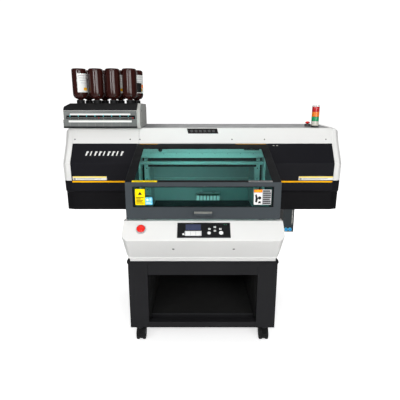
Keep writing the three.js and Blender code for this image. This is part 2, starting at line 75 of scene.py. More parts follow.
def studio_world(front, back, side, seen):
    """Pale surroundings, dimmed to a share at the sides, with a white backdrop where it is seen directly."""
    world = bpy.data.worlds.new("studio")
    world.use_nodes = True
    nodes, link = world.node_tree.nodes, world.node_tree.links.new
    kinds = ("TexCoord", "SeparateXYZ", "LightPath", "Mix", "Math", "Math", "MapRange", "MapRange")
    made = [nodes.new(f"ShaderNode{kind}") for kind in kinds]
    place, split, sight, choice, sideways, product, fade, dimmer = made
    sideways.operation, product.operation = "ABSOLUTE", "MULTIPLY"
    for made, numbers in ((fade, (-0.35, 0.35, front, back)), (dimmer, (0.25, 0.85, 1.0, side))):
        for index, number in enumerate(numbers):
            made.inputs[index + 1].default_value = number
    choice.inputs["B"].default_value = seen
    background = nodes["Background"].inputs
    background["Color"].default_value = (1, 1, 1, 1)
    for source, target in ((place.outputs["Generated"], split.inputs[0]),
                           (split.outputs["Y"], fade.inputs[0]),
                           (sight.outputs["Is Camera Ray"], choice.inputs["Factor"]),
                           (split.outputs["X"], sideways.inputs[0]), (sideways.outputs[0], dimmer.inputs[0]),
                           (fade.outputs[0], product.inputs[0]), (dimmer.outputs[0], product.inputs[1]),
                           (product.outputs[0], choice.inputs["A"]),
                           (choice.outputs[0], background["Strength"])):
        link(source, target)
    scene.world = world


studio_world(0.34, 0.30, 0.35, 1.1)
scene.view_settings.view_transform = "Standard"
area_light("key_light", (-0.9, -3.9, 3.0), (0, 0, 0.9), 1.8, 1.4, 38)
area_light("fill_light", (1.4, -3.9, 1.5), (0, 0, 0.8), 1.4, 1.6, 58)
area_light("top_light", (0.0, -0.4, 4.0), (0, 0, 0.8), 2.2, 2.2, 30)
area_light("back_light", (0.6, 3.2, 2.8), (0, 0, 0.9), 2.6, 1.8, 24)
area_light("tunnel_light", (-0.10, 0.26, 0.70), (-0.08, 0.63, 0.68), 0.50, 0.06, 0.27)
area_light("hood_light", (0, -0.40, 0.985), (0, -0.04, 1.08), 0.60, 0.04, 0.90)
area_light("bottle_light_left", (-1.63, -2.85, 1.72), (-0.6, 0, 1.5), 0.45, 0.6, 15)
area_light("bottle_light_middle", (-0.13, -2.94, 1.72), (-0.6, 0, 1.5), 0.30, 0.6, 10)


# ---------- material nodes ----------
SOCKETS = {"gloss": "Specular IOR Level"}  # short names for the shader's sockets


class Shader:
    """A material's node tree, with short calls for the nodes used here."""

    def __init__(self, name, colour, roughness, **sockets):
        self.material = bpy.data.materials.new(name)
        self.material.use_nodes = True
        self.tree = self.material.node_tree
        self.bsdf = self.tree.nodes["Principled BSDF"]
        self.bsdf.inputs["Base Color"].default_value = (*colour, 1)
        self.bsdf.inputs["Roughness"].default_value = roughness
        for socket, value in sockets.items():
            self.bsdf.inputs[SOCKETS.get(socket, socket.replace("_", " "))].default_value = value
        self.place = self.tree.nodes.new("ShaderNodeTexCoord").outputs["Object"]

    def put(self, value, socket):
        if isinstance(value, bpy.types.NodeSocket):
            self.tree.links.new(value, socket)
        else:
            socket.default_value = value

    def node(self, kind, **inputs):
        made = self.tree.nodes.new(kind)
        for key, value in inputs.items():
            self.put(value, made.inputs[key.replace("_", " ")])
        return made

    def noise(self, scale, detail=3.0, roughness=0.5, stretch=(1, 1, 1)):
        mapping = self.node("ShaderNodeMapping", Vector=self.place, Scale=stretch)
        return self.node("ShaderNodeTexNoise", Vector=mapping.outputs[0], Scale=scale, Detail=detail,
                         Roughness=roughness).outputs["Fac"]

    def ramp(self, factor, *stops):
        made = self.node("ShaderNodeValToRGB", Fac=factor)
        elements = made.color_ramp.elements
        while len(elements) < len(stops):
            elements.new(0.5)
        for element, (place, colour) in zip(elements, stops):
            element.position, element.color = place, (*colour, 1)
        return made.outputs["Color"]

    def remap(self, value, start, end, low, high):
        made = self.node("ShaderNodeMapRange", Value=value)
        for index, number in enumerate((start, end, low, high)):
            made.inputs[index + 1].default_value = number
        return made.outputs[0]

    def math(self, operation, first, second=0.0):
        made = self.tree.nodes.new("ShaderNodeMath")
        made.operation = operation
        self.put(first, made.inputs[0])
        self.put(second, made.inputs[1])
        return made.outputs[0]

    def axis(self, name):
        return self.node("ShaderNodeSeparateXYZ", Vector=self.place).outputs[name]

    def drift(self, colour, scale, spread, detail=4):
        """Slow change of brightness across the surface."""
        return self.ramp(self.noise(scale, detail), (0.3, shade(colour, 1 - spread)),
                         (0.7, shade(colour, 1 + spread)))

    def colour(self, value):
        self.put(value, self.bsdf.inputs["Base Color"])
        return self

    def rough(self, value):
        self.put(value, self.bsdf.inputs["Roughness"])
        return self

    def bump(self, height, strength=0.1, distance=0.001):
        made = self.node("ShaderNodeBump", Height=height, Strength=strength, Distance=distance)
        self.tree.links.new(made.outputs[0], self.bsdf.inputs["Normal"])
        return self


def shade(colour, factor):
    return tuple(min(1.0, c * factor) for c in colour)


def coated(name, colour, roughness, tone, gloss, grain, sockets):
    """Surface with slow drift of colour and gloss under a fine grain.

    tone is (scale, spread, detail), gloss is (scale, detail, start, end, less, more) and grain is
    (scale, detail, strength, height).
    """
    made = Shader(name, colour, roughness, **sockets)
    made.colour(made.drift(colour, *tone))
    scale, detail, start, end, less, more = gloss
    made.rough(made.remap(made.noise(scale, detail), start, end, roughness - less, roughness + more))
    scale, detail, strength, height = grain
    return made.bump(made.noise(scale, detail), strength, height).material


def painted(name, colour, roughness=0.42, peel=0.06, spread=0.05, peel_scale=900.0, **sockets):
    """Sprayed or powder-coated paint with faint orange peel."""
    return coated(name, colour, roughness, (3.0, spread, 4), (14.0, 5, 0.3, 0.7, 0.05, 0.07),
                  (peel_scale, 2, peel, 0.0004), sockets)


def moulded(name, colour, roughness=0.45, grain=0.12, **sockets):
    """Moulded plastic with spark-eroded grain and light handling marks."""
    return coated(name, colour, roughness, (8.0, 0.06, 5), (40.0, 6, 0.35, 0.65, 0.06, 0.08),
                  (1600.0, 3, grain, 0.0003), sockets)


def rubbery(name, colour, roughness=0.75):
    return coated(name, colour, roughness, (25.0, 0.25, 6), (60.0, 6, 0.3, 0.7, 0.12, 0.1),
                  (700.0, 4, 0.2, 0.0004), {"gloss": 0.3})


def glossy(name, colour, roughness=0.12, **sockets):
    return coated(name, colour, roughness, (12.0, 0.08, 4), (50.0, 5, 0.35, 0.7, 0.0, 0.08),
                  (20.0, 2, 0.03, 0.0005), sockets)


def brushed(name, colour, roughness=0.3, stretch=(1, 60, 60), metallic=1.0):
    """Machined metal with fine lines along X."""
    made = Shader(name, colour, roughness, Metallic=metallic)
    lines = made.noise(40.0, 6, 0.6, stretch)
    made.colour(made.ramp(lines, (0.3, shade(colour, 0.86)), (0.7, shade(colour, 1.08))))
    made.rough(made.remap(lines, 0.3, 0.7, roughness - 0.06, roughness + 0.12))
    return made.bump(lines, 0.08, 0.0003).material


def tinted(name, colour):
    """Clear tinted sheet with faint polish marks."""
    made = Shader(name, colour, 0.03, Transmission_Weight=1.0, IOR=1.14)
    made.rough(made.remap(made.noise(30.0, 5), 0.4, 0.8, 0.0, 0.05))
    return made.bump(made.noise(4.0, 2), 0.02, 0.0005).material


def ribbed_lens(name, colour, glow):
    """Ribbed lamp lens: the ribs run round it, a little light comes from within."""
    made = Shader(name, colour, 0.28, gloss=0.6, Coat_Weight=0.6, Coat_Roughness=0.12)
    bands = made.math("SINE", made.math("MULTIPLY", made.axis("Z"), 2 * math.pi / 0.0045))
    made.colour(made.ramp(bands, (0.0, shade(colour, 0.7)), (1.0, shade(colour, 1.15))))
    made.put((*colour, 1), made.bsdf.inputs["Emission Color"])
    made.put(glow, made.bsdf.inputs["Emission Strength"])
    return made.bump(bands, 0.5, 0.0008).material


def perforated_table(name, colour):
    """Anodised vacuum table: a fine grid of suction holes, darkened as painted shade inside them, and faint
    scratches.
    """
    pitch = 0.02
    made = Shader(name, colour, 0.4, gloss=0.12)
    waves = [made.math("ABSOLUTE", made.math("SINE", made.math("MULTIPLY", made.axis(a), math.pi / pitch)))
             for a in "XY"]
    solid = made.math("GREATER_THAN", made.math("ADD", *waves), 0.16)
    # painted shade: the holes get 15 % of the table's colour
    made.colour(made.ramp(solid, (0.0, shade(colour, 0.15)), (1.0, colour)))
    made.rough(made.remap(made.noise(25.0, 6, 0.6, (1, 8, 1)), 0.3, 0.7, 0.34, 0.5))
    return made.bump(solid, 0.3, 0.0006).material


def display(name):
    """Backlit display: violet-blue, its brightness drifting across it, with a faint dot raster."""
    made = Shader(name, (0.026, 0.032, 0.065), 0.25, gloss=0.12)
    glow = made.drift((0.026, 0.032, 0.070), 9.0, 0.25)
    made.colour(glow)
    made.put(glow, made.bsdf.inputs["Emission Color"])
    made.put(0.2, made.bsdf.inputs["Emission Strength"])
    return made.bump(made.noise(3000.0, 1), 0.05, 0.0002).material


WHITE = (0.76, 0.76, 0.745)
MATERIALS = {
    "white": painted("white_paint", WHITE, 0.36, 0.05, 0.010, gloss=0.4),
    "tray_white": painted("tray_paint", (0.58, 0.58, 0.57), 0.45, 0.05, 0.02),
    "black": painted("black_paint", (0.0085, 0.0085, 0.0110), 0.44, 0.08, 0.12, gloss=0.08),
    # darker copy of the black paint: painted shade for the lower covers below their step
    "shaded_lower_black": painted("shaded_lower_black_paint", (0.0060, 0.0058, 0.0070), 0.46, 0.08, 0.12,
                           gloss=0.07),
    "slate": painted("slate_paint", (0.050, 0.059, 0.066), 0.46, 0.07, 0.05, gloss=0.10),
    # black paint, used as well for dark plates and sheets that stand for shade
    "black_and_shade": painted("black_and_shade_paint", (0.0070, 0.0075, 0.0085), 0.55, 0.07, 0.08, gloss=0.06),
    "charcoal": painted("charcoal_powder_coat", (0.0155, 0.0155, 0.0170), 0.54, 0.25, 0.10, 700.0,
                        gloss=0.09),
    "inside": painted("bay_paint", (0.0200, 0.0200, 0.0200), 0.6, 0.15, 0.15, gloss=0.15),
    "shell": painted("shell_paint", (0.075, 0.078, 0.082), 0.42, 0.06, 0.04),
    "steel": brushed("machined_steel", (0.55, 0.58, 0.58)),
    "satin_aluminium": brushed("satin_aluminium", (0.70, 0.73, 0.72), 0.38, (1, 40, 40), 0.7),
    "chrome": brushed("bright_screw_steel", (0.75, 0.75, 0.74), 0.2, (30, 30, 30)),
    "frame_paint": painted("frame_paint", (0.60, 0.63, 0.62), 0.5, 0.06, 0.03, gloss=0.3),
    "lamp_white": moulded("lamp_diffuser", (0.85, 0.86, 0.84), 0.4, 0.05, Emission_Strength=0.5,
                          Emission_Color=(0.9, 1.0, 0.95, 1.0)),
    "dark_steel": brushed("blackened_steel", (0.10, 0.10, 0.105), 0.38),
    "table": perforated_table("vacuum_table", (0.010, 0.0095, 0.012)),
    "glass": tinted("tinted_acrylic", (0.37, 0.86, 0.80)),
    "black_plastic": moulded("black_plastic", (0.010, 0.010, 0.0105), 0.48, gloss=0.12),
    "grey_plastic": moulded("grey_plastic", (0.19, 0.20, 0.19), 0.4),
    "dark_grey_plastic": moulded("dark_grey_plastic", (0.045, 0.048, 0.05), 0.42),
    "pale_plastic": moulded("pale_plastic", (0.36, 0.36, 0.33), 0.45),
    "light_grey_plastic": moulded("light_grey_plastic", (0.5, 0.51, 0.52), 0.4),
    "rubber": rubbery("caster_rubber", (0.014, 0.014, 0.015)),
    "bottle": glossy("brown_bottle", (0.030, 0.0058, 0.0042), 0.13, gloss=0.35),
    "bottle_cap": moulded("bottle_cap", (0.010, 0.010, 0.010), 0.4),
    "paper": painted("label_paper", (0.80, 0.80, 0.78), 0.55, 0.04, 0.02),
    "print_grey": painted("label_grey_ink", (0.22, 0.22, 0.22), 0.5, 0.04, 0.06),
    "print_dark": painted("label_dark_ink", (0.014, 0.013, 0.013), 0.55, 0.04, 0.06, gloss=0.1),
    # Blue caps with a faint emission: a painted glow, as the caps are no lamps
    "blue_cap_painted_glow": moulded("blue_cap_plastic_painted_glow", (0.22, 0.80, 1.0), 0.3, 0.08, Emission_Strength=0.12,
                        Emission_Color=(0.10, 0.55, 0.90, 1.0)),
    "stop_red": glossy("stop_red", (0.86, 0.012, 0.006), 0.28, gloss=0.3),
    "dull_red": glossy("dull_red", (0.35, 0.008, 0.006), 0.3),
    "tank": moulded("tank_plastic", (0.022, 0.030, 0.034), 0.42, gloss=0.3),
    "key": moulded("key_plastic", (0.78, 0.78, 0.77), 0.4, 0.08),
    "panel": moulded("panel_film", (0.0050, 0.0050, 0.0058), 0.42, 0.10, gloss=0.12),
    "display": display("display"),
    "liner": painted("liner_paint", (0.42, 0.45, 0.45), 0.5, 0.06, 0.06, gloss=0.2),
    "ink_grey": moulded("ink_unit_grey", (0.42, 0.425, 0.40), 0.4),
    "cyan_lamp": glossy("cyan_lamp", (0.10, 0.62, 0.66), 0.2),
    "clear_smoke": glossy("smoked_cover", (0.155, 0.165, 0.160), 0.2, gloss=0.3),
    "ivory": moulded("ivory_plastic", (0.72, 0.70, 0.62), 0.4),
}
for name, colour in (("yellow", (1.0, 0.48, 0.0)), ("lemon", (1.0, 0.74, 0.0)), ("orange", (1.0, 0.24, 0.02)),
                     ("sky", (0.14, 0.62, 0.92))):
    MATERIALS[name] = painted(f"{name}_film", colour, 0.5, 0.04, 0.03, gloss=0.1)
for name, colour, glow in (("red", (0.62, 0.006, 0.012), 0.12), ("amber", (0.95, 0.22, 0.004), 0.20),
                           ("green", (0.001, 0.30, 0.11), 0.30)):
    MATERIALS[f"lens_{name}"] = ribbed_lens(f"{name}_lens", colour, glow)


# ---------- meshes ----------
RECORD = frame["record"]
SLOT_OF = {part["node"]: part["material_slot"] for part in RECORD["subparts"]}
BODY_OF = {node: body for body, nodes in RECORD["behaviour"]["bodies"].items() for node in nodes}
AXES = {"x": Matrix.Rotation(math.pi / 2, 4, "Y"), "y": Matrix.Rotation(-math.pi / 2, 4, "X"),
        "z": Matrix.Identity(4)}


def show(name, mesh, body, material, bevel=0.0, segments=2, angle=30):
    """Piece of a mesh: its material, rounded edges, smooth shading, and the body that it rides on."""
    piece = bpy.data.objects.new(name, mesh)
    scene.collection.objects.link(piece)
    piece.data.materials.clear()
    piece.data.materials.append(MATERIALS[material])
    piece.data.shade_smooth()
    if bevel:
        rounding = piece.modifiers.new("edges", "BEVEL")
        rounding.width, rounding.segments = bevel, segments
        rounding.limit_method, rounding.angle_limit = "ANGLE", math.radians(angle)
        weights = piece.modifiers.new("weights", "WEIGHTED_NORMAL")
        weights.keep_sharp = True
    else:
        piece.data.set_sharp_from_angle(angle=math.radians(35))
    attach(piece, body)
    return piece


class Shape:
    """Collects closed solids in one mesh. Its matrix places everything that is added."""

    def __init__(self, at=None):
        self.mesh = bmesh.new()
        self.at = at or Matrix.Identity(4)

    def faces_from(self, rings, closed_ends=True):
        """Skin over rings of equally many points."""
        made = [[self.mesh.verts.new(self.at @ Vector(p)) for p in ring] for ring in rings]
        count = len(made[0])
        for low, high in zip(made, made[1:]):
            for i in range(count):
                j = (i + 1) % count
                self.mesh.faces.new((low[i], low[j], high[j], high[i]))
        if closed_ends:
            self.mesh.faces.new(made[0][::-1])
            self.mesh.faces.new(made[-1])
        return self

    def prism(self, outline, start, end, axis="x"):
        """Outline drawn out along an axis. Its points are the other two coordinates, in x, y, z order."""
        place = {"x": lambda a, b, t: (t, a, b), "y": lambda a, b, t: (a, t, b),
                 "z": lambda a, b, t: (a, b, t)}[axis]
        return self.faces_from([[place(a, b, t) for a, b in outline] for t in (start, end)])

    def box(self, low, high):
        (x0, y0, z0), (x1, y1, z1) = low, high
        return self.prism([(x0, y0), (x1, y0), (x1, y1), (x0, y1)], z0, z1, "z")

    def turned(self, profile, centre=(0, 0, 0), axis="z", segments=32):
        """Profile of (radius, height) points from axis to axis, turned about an axis through centre."""
        move = Matrix.Translation(centre) @ AXES[axis]
        rings = []
        for radius, height in profile:
            radius = max(radius, 1e-5)
            angles = (2 * math.pi * i / segments for i in range(segments))
            rings.append([move @ Vector((radius * math.cos(a), radius * math.sin(a), height))
                          for a in angles])
        return self.faces_from(rings)

    def rod(self, centre, radius, start, end, axis="z", segments=32):
        return self.turned([(radius, start), (radius, end)], centre, axis, segments)

    def piece(self, name, body, slot, material, bevel=0.0):
        bmesh.ops.recalc_face_normals(self.mesh, faces=self.mesh.faces)
        mesh = bpy.data.meshes.new(name)
        self.mesh.to_mesh(mesh)
        self.mesh.free()
        return show(name, mesh, body, material, bevel)


def rounded(width, height, radius, steps=6, centre=(0, 0)):
    """Rectangle with round corners, as outline points."""
    points = []
    for turn, (sx, sy) in enumerate(((1, 1), (-1, 1), (-1, -1), (1, -1))):
        cx, cy = centre[0] + sx * (width / 2 - radius), centre[1] + sy * (height / 2 - radius)
        for k in range(steps + 1):
            a = math.pi / 2 * (turn + k / steps)
            points.append((cx + radius * math.cos(a), cy + radius * math.sin(a)))
    return points


def clean_copy(node):
    """The CAD node's mesh with its flat faces joined up."""
    mesh = frame["nodes"][node].data.copy()
    work = bmesh.new()
    work.from_mesh(mesh)
    bmesh.ops.remove_doubles(work, verts=work.verts, dist=1e-5)
    bmesh.ops.dissolve_limit(work, angle_limit=math.radians(0.5), verts=work.verts, edges=work.edges)
    work.to_mesh(mesh)
    work.free()
    for attribute in ("custom_normal", "sharp_edge", "sharp_face"):
        if attribute in mesh.attributes:
            mesh.attributes.remove(mesh.attributes[attribute])
    return mesh


def refined(node, material, bevel=0.0015, segments=3, angle=25):
    """The CAD node's own shape with rounded edges, shown in its place."""
    piece = show(f"{node}_finished", clean_copy(node), BODY_OF[node], material, bevel,
                 segments, angle)
    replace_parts(piece, node)
    return piece


def span(node):
    """Lowest and highest corner of a CAD node, as one (x0, y0, z0, x1, y1, z1)."""
    low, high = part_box(node)
    return (*low, *high)


def slope_frame(foot, head, x=0.0):
    """Frame on a slope that runs from foot to head, (y, z) points: x across, y up the slope, z out of it."""
    up = Vector((0, head[0] - foot[0], head[1] - foot[1])).normalized()
    across = Vector((1, 0, 0))
    basis = Matrix((across, up, across.cross(up))).transposed().to_4x4()
    return Matrix.Translation((x, *foot)) @ basis


def screw_heads(name, slot, places, out, radius, material="dark_steel", body="base"):
    """Domed screw heads with a round socket, facing along out."""
    turn = Vector(out).to_track_quat("Z", "Y").to_matrix().to_4x4()
    shape = Shape()
    dome = [(radius * math.cos(a), 0.0005 + radius * 0.45 * math.sin(a))
            for a in (math.pi / 2 * k / 4 for k in range(4))]
    for place in places:
        shape.at = Matrix.Translation(place) @ turn
        shape.turned([(0, -0.001), (radius, -0.001), *dome, (radius * 0.5, radius * 0.46),
                      (radius * 0.45, radius * 0.1), (0, radius * 0.1)], segments=18)
    return shape.piece(name, body, slot, material)


# ---------- pieces of one kind of solid ----------
def prisms(name, slot, material, outlines, start, end, axis="x", at=None, body="base", **edges):
    """One piece made of outlines drawn out between two levels."""
    made = Shape(at)
    for outline in outlines:
        made.prism(outline, start, end, axis)
    return made.piece(name, body, slot, material, **edges)


def boxes(name, slot, material, corners, at=None, body="base", **edges):
    """One piece made of boxes, each given by its x, y and z limits."""
    made = Shape(at)
    for limits in corners:
        made.box(*zip(*limits))
    return made.piece(name, body, slot, material, **edges)


def turnings(name, slot, material, profile, centres, axis="z", segments=32, at=None, body="base"):
    """One piece made of the same (radius, height) profile, turned about an axis through each centre."""
    made = Shape(at)
    for centre in centres:
        made.turned(profile, centre, axis, segments)
    return made.piece(name, body, slot, material)


def slots(count, width, height, first, pitch, radius=0.0029):
    """Outlines of a row or column of slots with round ends, a pitch (across, up) apart."""
    return [rounded(width, height, radius, 4, (first[0] + pitch[0] * k, first[1] + pitch[1] * k))
            for k in range(count)]


def spread(sign, first, second):
    """Two places on one side of the middle, in rising order."""
    return sorted((sign * first, sign * second))


def knurled(centre, radius, depth, ridges):
    """Outline of a round grip with fine ridges."""
    rims = (radius - depth * (i % 2) for i in range(ridges))
    return [(centre[0] + r * math.cos(2 * math.pi * i / ridges),
             centre[1] + r * math.sin(2 * math.pi * i / ridges)) for i, r in enumerate(rims)]


def ring_of(x, y, radius, count=16):
    """Circle as outline points."""
    return knurled((x, y), radius, 0, count)


def window_outline(x0, x1, y0, y1, radius, steps=4):
    """Rounded rectangle given by its limits."""
    return rounded(x1 - x0, y1 - y0, radius, steps, ((x0 + x1) / 2, (y0 + y1) / 2))


# ---------- stand ----------
STAND_SLOT = "stand_charcoal"
for node in ("stand_top", "stand_left_side", "stand_right_side"):
    refined(node, "charcoal", 0.002)
refined("stand_shelf", "charcoal", 0.0015)
left_leg, right_leg, shelf, stand_top = (
    span(f"stand_{part}") for part in ("left_side", "right_side", "shelf", "top"))
stand_front, stand_back = left_leg[1], left_leg[4]
bay_half, bay_front, bay_back = shelf[3], stand_front + 0.042, shelf[4] - 0.008
LINER, LINER_FOOT = 0.0012, 0.16

# Dark liner sheets on the bay's sides, back and ceiling, inside the leg frames
inside_x = (-bay_half + 0.002, bay_half - 0.002)
side_yz = ((bay_front, bay_back + 0.001), (LINER_FOOT, stand_top[2] - 0.001))
boxes("stand_bay_liner", STAND_SLOT, "inside", (
    ((-bay_half, -bay_half + LINER), *side_yz), ((bay_half - LINER, bay_half), *side_yz),
    ((-bay_half, bay_half), (bay_back + 0.0005, bay_back + 0.0015), (LINER_FOOT, stand_top[2] + 0.06)),
    (inside_x, (bay_front, bay_back), (stand_top[5] - 0.018, stand_top[5] - 0.0165))))
boxes("stand_shelf_mat", STAND_SLOT, "inside", [(inside_x, (-0.374, bay_back), (0.1462, 0.1475))])
# Lighter strip along the shelf's front edge: a painted highlight
boxes("stand_shelf_edge_highlight", STAND_SLOT, "dark_grey_plastic", [(inside_x, (-0.3756, -0.3746), (0.1490, 0.1515))])

# Four bolts and a field of slots on each side
for name, side, leg in (("left", -1, left_leg), ("right", 1, right_leg)):
    face = leg[0] if side < 0 else leg[3]
    places = [(face, y, z) for y in (stand_front + 0.03, stand_back - 0.03) for z in (0.145, 0.49)]
    screw_heads(f"stand_{name}_bolts", STAND_SLOT, places, (side, 0, 0), 0.006)
    prisms(f"stand_{name}_slots", STAND_SLOT, "inside", slots(9, 0.16, 0.006, (-0.02, 0.36), (0, -0.016)),
           face - side * 0.0004, face + side * 0.0006)

# ---------- casters ----------
WHEEL_BACK, GUARD_R = 0.022, 0.047


def caster(corner):
    """Twin wheels, mounting plate and guard with a brake pedal, round the caster's CAD nodes."""
    fork, wheels = f"caster_fork_{corner}", f"caster_wheels_{corner}"
    x0, y0, z0, x1, y1, z1 = span(wheels)
    cx, wheel_y, axle = (x0 + x1) / 2, (y0 + y1) / 2, (z0 + z1) / 2
    radius, half = (z1 - z0) / 2, (x1 - x0) / 2
    swivel_y, top, centre = wheel_y - WHEEL_BACK, span(fork)[5], (cx, wheel_y, axle)

    # Two tyres with rounded shoulders on dished hubs, joined by the hub tube
    tyres, hubs = Shape(), Shape()
    for side in (-1, 1):
        inner, outer = side * 0.009, side * half
        middle = (inner + outer) / 2
        shoulder = [(radius - 0.004 + 0.004 * math.cos(a), middle + (outer - inner) / 2 * math.sin(a))
                    for a in (math.radians(-90 + 18 * k) for k in range(11))]
        tyres.turned([(0.029, inner), *shoulder, (0.029, outer), (0.028, middle)], centre, "x", 48)
        hubs.turned([(0.006, inner), (0.0288, inner), (0.0288, outer * 0.97), (0.026, outer * 0.95),
                     (0.024, outer * 0.78), (0.012, outer * 0.74), (0.010, outer * 0.96),
                     (0.0, outer * 0.98)], centre, "x", 40)
    hubs.rod(centre, 0.0075, -0.012, 0.012, "x", 24)
    tread = tyres.piece(wheels + "_tyres", f"wheels_{corner}", "caster_rubber", "rubber")
    hubs.piece(wheels + "_hubs", f"wheels_{corner}", "caster_rubber", "dark_grey_plastic")
    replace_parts(tread, wheels)

    # Mounting plate with bolts, neck, and the guard that curves over the wheels
    body, slot = f"caster_{corner}", "caster_plastic"
    plate = Shape()
    plate.prism(rounded(0.056, 0.056, 0.006, 4, (cx, swivel_y)), top - 0.004, top, "z")
    plate.turned([(0, -0.030), (0.016, -0.030), (0.019, -0.020), (0.022, -0.012), (0.022, -0.004),
                  (0, -0.004)], (cx, swivel_y, top), segments=36)
    metal = plate.piece(fork + "_plate", body, slot, "dark_steel", 0.0008)
    guard = Shape()
    outer_edge, inner_edge = ([(wheel_y + r * math.cos(math.radians(a)), axle + r * math.sin(math.radians(a)))
                               for a in range(0, 181, 15)] for r in (GUARD_R, GUARD_R - 0.0032))
    guard.prism(outer_edge + inner_edge[::-1], cx - 0.024, cx + 0.024)
    web = [(-0.040, -0.004), (-0.020, 0.0445), (0.024, 0.0445), (0.030, 0.010), (0.014, -0.036),
           (-0.014, -0.036)]
    guard.prism([(wheel_y + y, axle + z) for y, z in web], cx - 0.0060, cx + 0.0060)
    guard.piece(fork + "_guard", body, slot, "black_plastic", 0.001)
    turn = -1 if "front" in corner else 1
    pedal = [(0.040, 0.030), (0.058, 0.018), (0.060, 0.021), (0.042, 0.036)]
    prisms(fork + "_brake_pedal", slot, "black_plastic", [[(wheel_y + turn * y, axle + z) for y, z in pedal]],
           cx - 0.011, cx + 0.011, body=body, bevel=0.001)
    bolts = [(cx + dx, swivel_y + dy, top - 0.004) for dx in (-0.021, 0.021) for dy in (-0.021, 0.021)]
    screw_heads(fork + "_bolts", slot, bolts, (0, 0, -1), 0.003, "chrome", body)
    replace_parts(metal, fork)


for corner in ("front_left", "front_right", "rear_left", "rear_right"):
    caster(corner)

# ---------- base tray, housing and console ----------
CONSOLE_SLOT = "cover_white"
refined("base_tray", "tray_white", 0.002)
refined("base_housing", "white", 0.0015)
refined("rear_hood", "white", 0.006, 4, 20)
refined("front_console", "white", 0.003, 4, 12)
foot_z = span("base_tray")[2] - 0.0002
turnings("levelling_foot_pads", "housing_white", "black_plastic",
         [(0, 0), (0.027, 0), (0.027, 0.004), (0.0255, 0.0055), (0, 0.0055)],
         [(x, y, foot_z) for x in (-0.34, 0.34) for y in (-0.43, 0.38)], segments=36)

CREASE, TOP_EDGE, FOOT = (-0.645, 0.707), (-0.556, 0.783), (-0.524, 0.574)
lower_face = slope_frame(FOOT, CREASE)
key_face = slope_frame(CREASE, TOP_EDGE)
lower_screws = [lower_face @ Vector((x, 0.092, 0)) for x in (-0.152, 0.1565)]
screw_heads("console_screws", CONSOLE_SLOT, lower_screws, lower_face.col[2].xyz, 0.0042)
turnings("console_screw_washers", CONSOLE_SLOT, "print_dark",
         [(0, -0.001), (0.0062, -0.001), (0.0062, 0.0002), (0.0056, 0.0004), (0, 0.0004)],
         [(x, 0.092, 0) for x in (-0.152, 0.1565)], segments=24, at=lower_face)
seal_foot = span("base_housing")[5] - 0.0005
boxes("console_seal", CONSOLE_SLOT, "rubber",
      [((-0.399, 0.399), (-0.5118, -0.5108), (seal_foot, seal_foot + 0.0008))])

# Red stop button of the console: washer, and a domed head with arcs that show which way it turns
STOP_X, STOP_S, STOP_R = -0.3115, 0.066, 0.0210
stop_at = key_face @ Matrix.Translation((STOP_X, STOP_S, 0))
turnings("console_stop_collar", CONSOLE_SLOT, "light_grey_plastic",
         [(0.0128, 0.0026), (0.0262, 0.0026), (0.0258, 0.0030), (0.0240, 0.0033), (0.0150, 0.0033),
          (0.0128, 0.0031)], [(0, 0, 0)], segments=56, at=stop_at)


def stop_head(name, at, radius, foot, height, body, notches=3):
    """Domed red head of a stop button, with short arcs in its face."""
    dome = [(radius * math.cos(a), foot + height * (0.35 + 0.65 * math.sin(a)))
            for a in (math.radians(9 * k) for k in range(10))]
    piece = turnings(name, "stop_red", "stop_red",
                     [(0, foot), (radius * 0.86, foot), (radius * 0.97, foot + height * 0.12),
                      (radius, foot + height * 0.3), *dome, (0, foot + height)],
                     [(0, 0, 0)], segments=56, at=at, body=body)
    arcs = []
    for k in range(notches):
        rim = [2 * math.pi * k / notches + math.radians(7 * j) for j in range(9)]
        arcs.append([(radius * 0.66 * math.cos(a), radius * 0.66 * math.sin(a)) for a in rim] +
                    [(radius * 0.54 * math.cos(a), radius * 0.54 * math.sin(a)) for a in reversed(rim)])
    prisms(name + "_arcs", "stop_red", "dull_red", arcs, foot + height * 0.78, foot + height * 0.875,
           "z", at, body)
    return piece


stop = stop_head("console_stop_head", stop_at, STOP_R, 0.0076, 0.0108, "console_stop")
turnings("console_stop_stem", "stop_red", "dull_red", [(0.0108, -0.0078), (0.0108, 0.0080)], [(0, 0, 0)],
         at=stop_at, body="console_stop")
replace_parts(stop, "console_stop_button")


# ---------- operation panel ----------
KEYPAD_SLOT, KEY_SLOT = "keypad_black", "key_white"
PANEL_X, PANEL_S, PANEL_W, PANEL_H = 0.003, 0.061, 0.266, 0.087
PANEL_TOP, KEY_FOOT, KEY_TOP = 0.0033, 0.0016, 0.0050
ROUND_KEYS = {"key_small_round": (-0.099, 0.037, 0.005), "key_round_left": (0.029, 0.044, 0.0085),
              "key_round_right": (0.089, 0.045, 0.0105)}
ARROW_KEYS = {"key_up": (0.0585, 0.079, 90), "key_left": (0.031, 0.068, 180),
              "key_right": (0.086, 0.068, 0), "key_down": (0.0585, 0.057, 270)}
FUNCTION_KEYS = {f"key_function_{k + 1}": (-0.076 + 0.026 * k, 0.042) for k in range(3)}


def key_ring(name, material, *levels):
    """Closed band on the key face through outlines at heights above it."""
    made = Shape(key_face)
    made.faces_from([[(x, s, n) for x, s in line] for line, n in levels], closed_ends=False)
    made.piece(name, "base", KEYPAD_SLOT, material)


refined("operation_panel", "panel", 0.0006, 2, 30)
middle = (PANEL_X, PANEL_S)
outer = rounded(PANEL_W, PANEL_H, 0.004, 5, middle)
inner = rounded(PANEL_W - 0.005, PANEL_H - 0.005, 0.003, 5, middle)
low, high = PANEL_TOP - 0.0002, PANEL_TOP + 0.0005
key_ring("operation_panel_rim", "dark_grey_plastic", (outer, low), (outer, high), (inner, high), (inner, low),
         (outer, low))

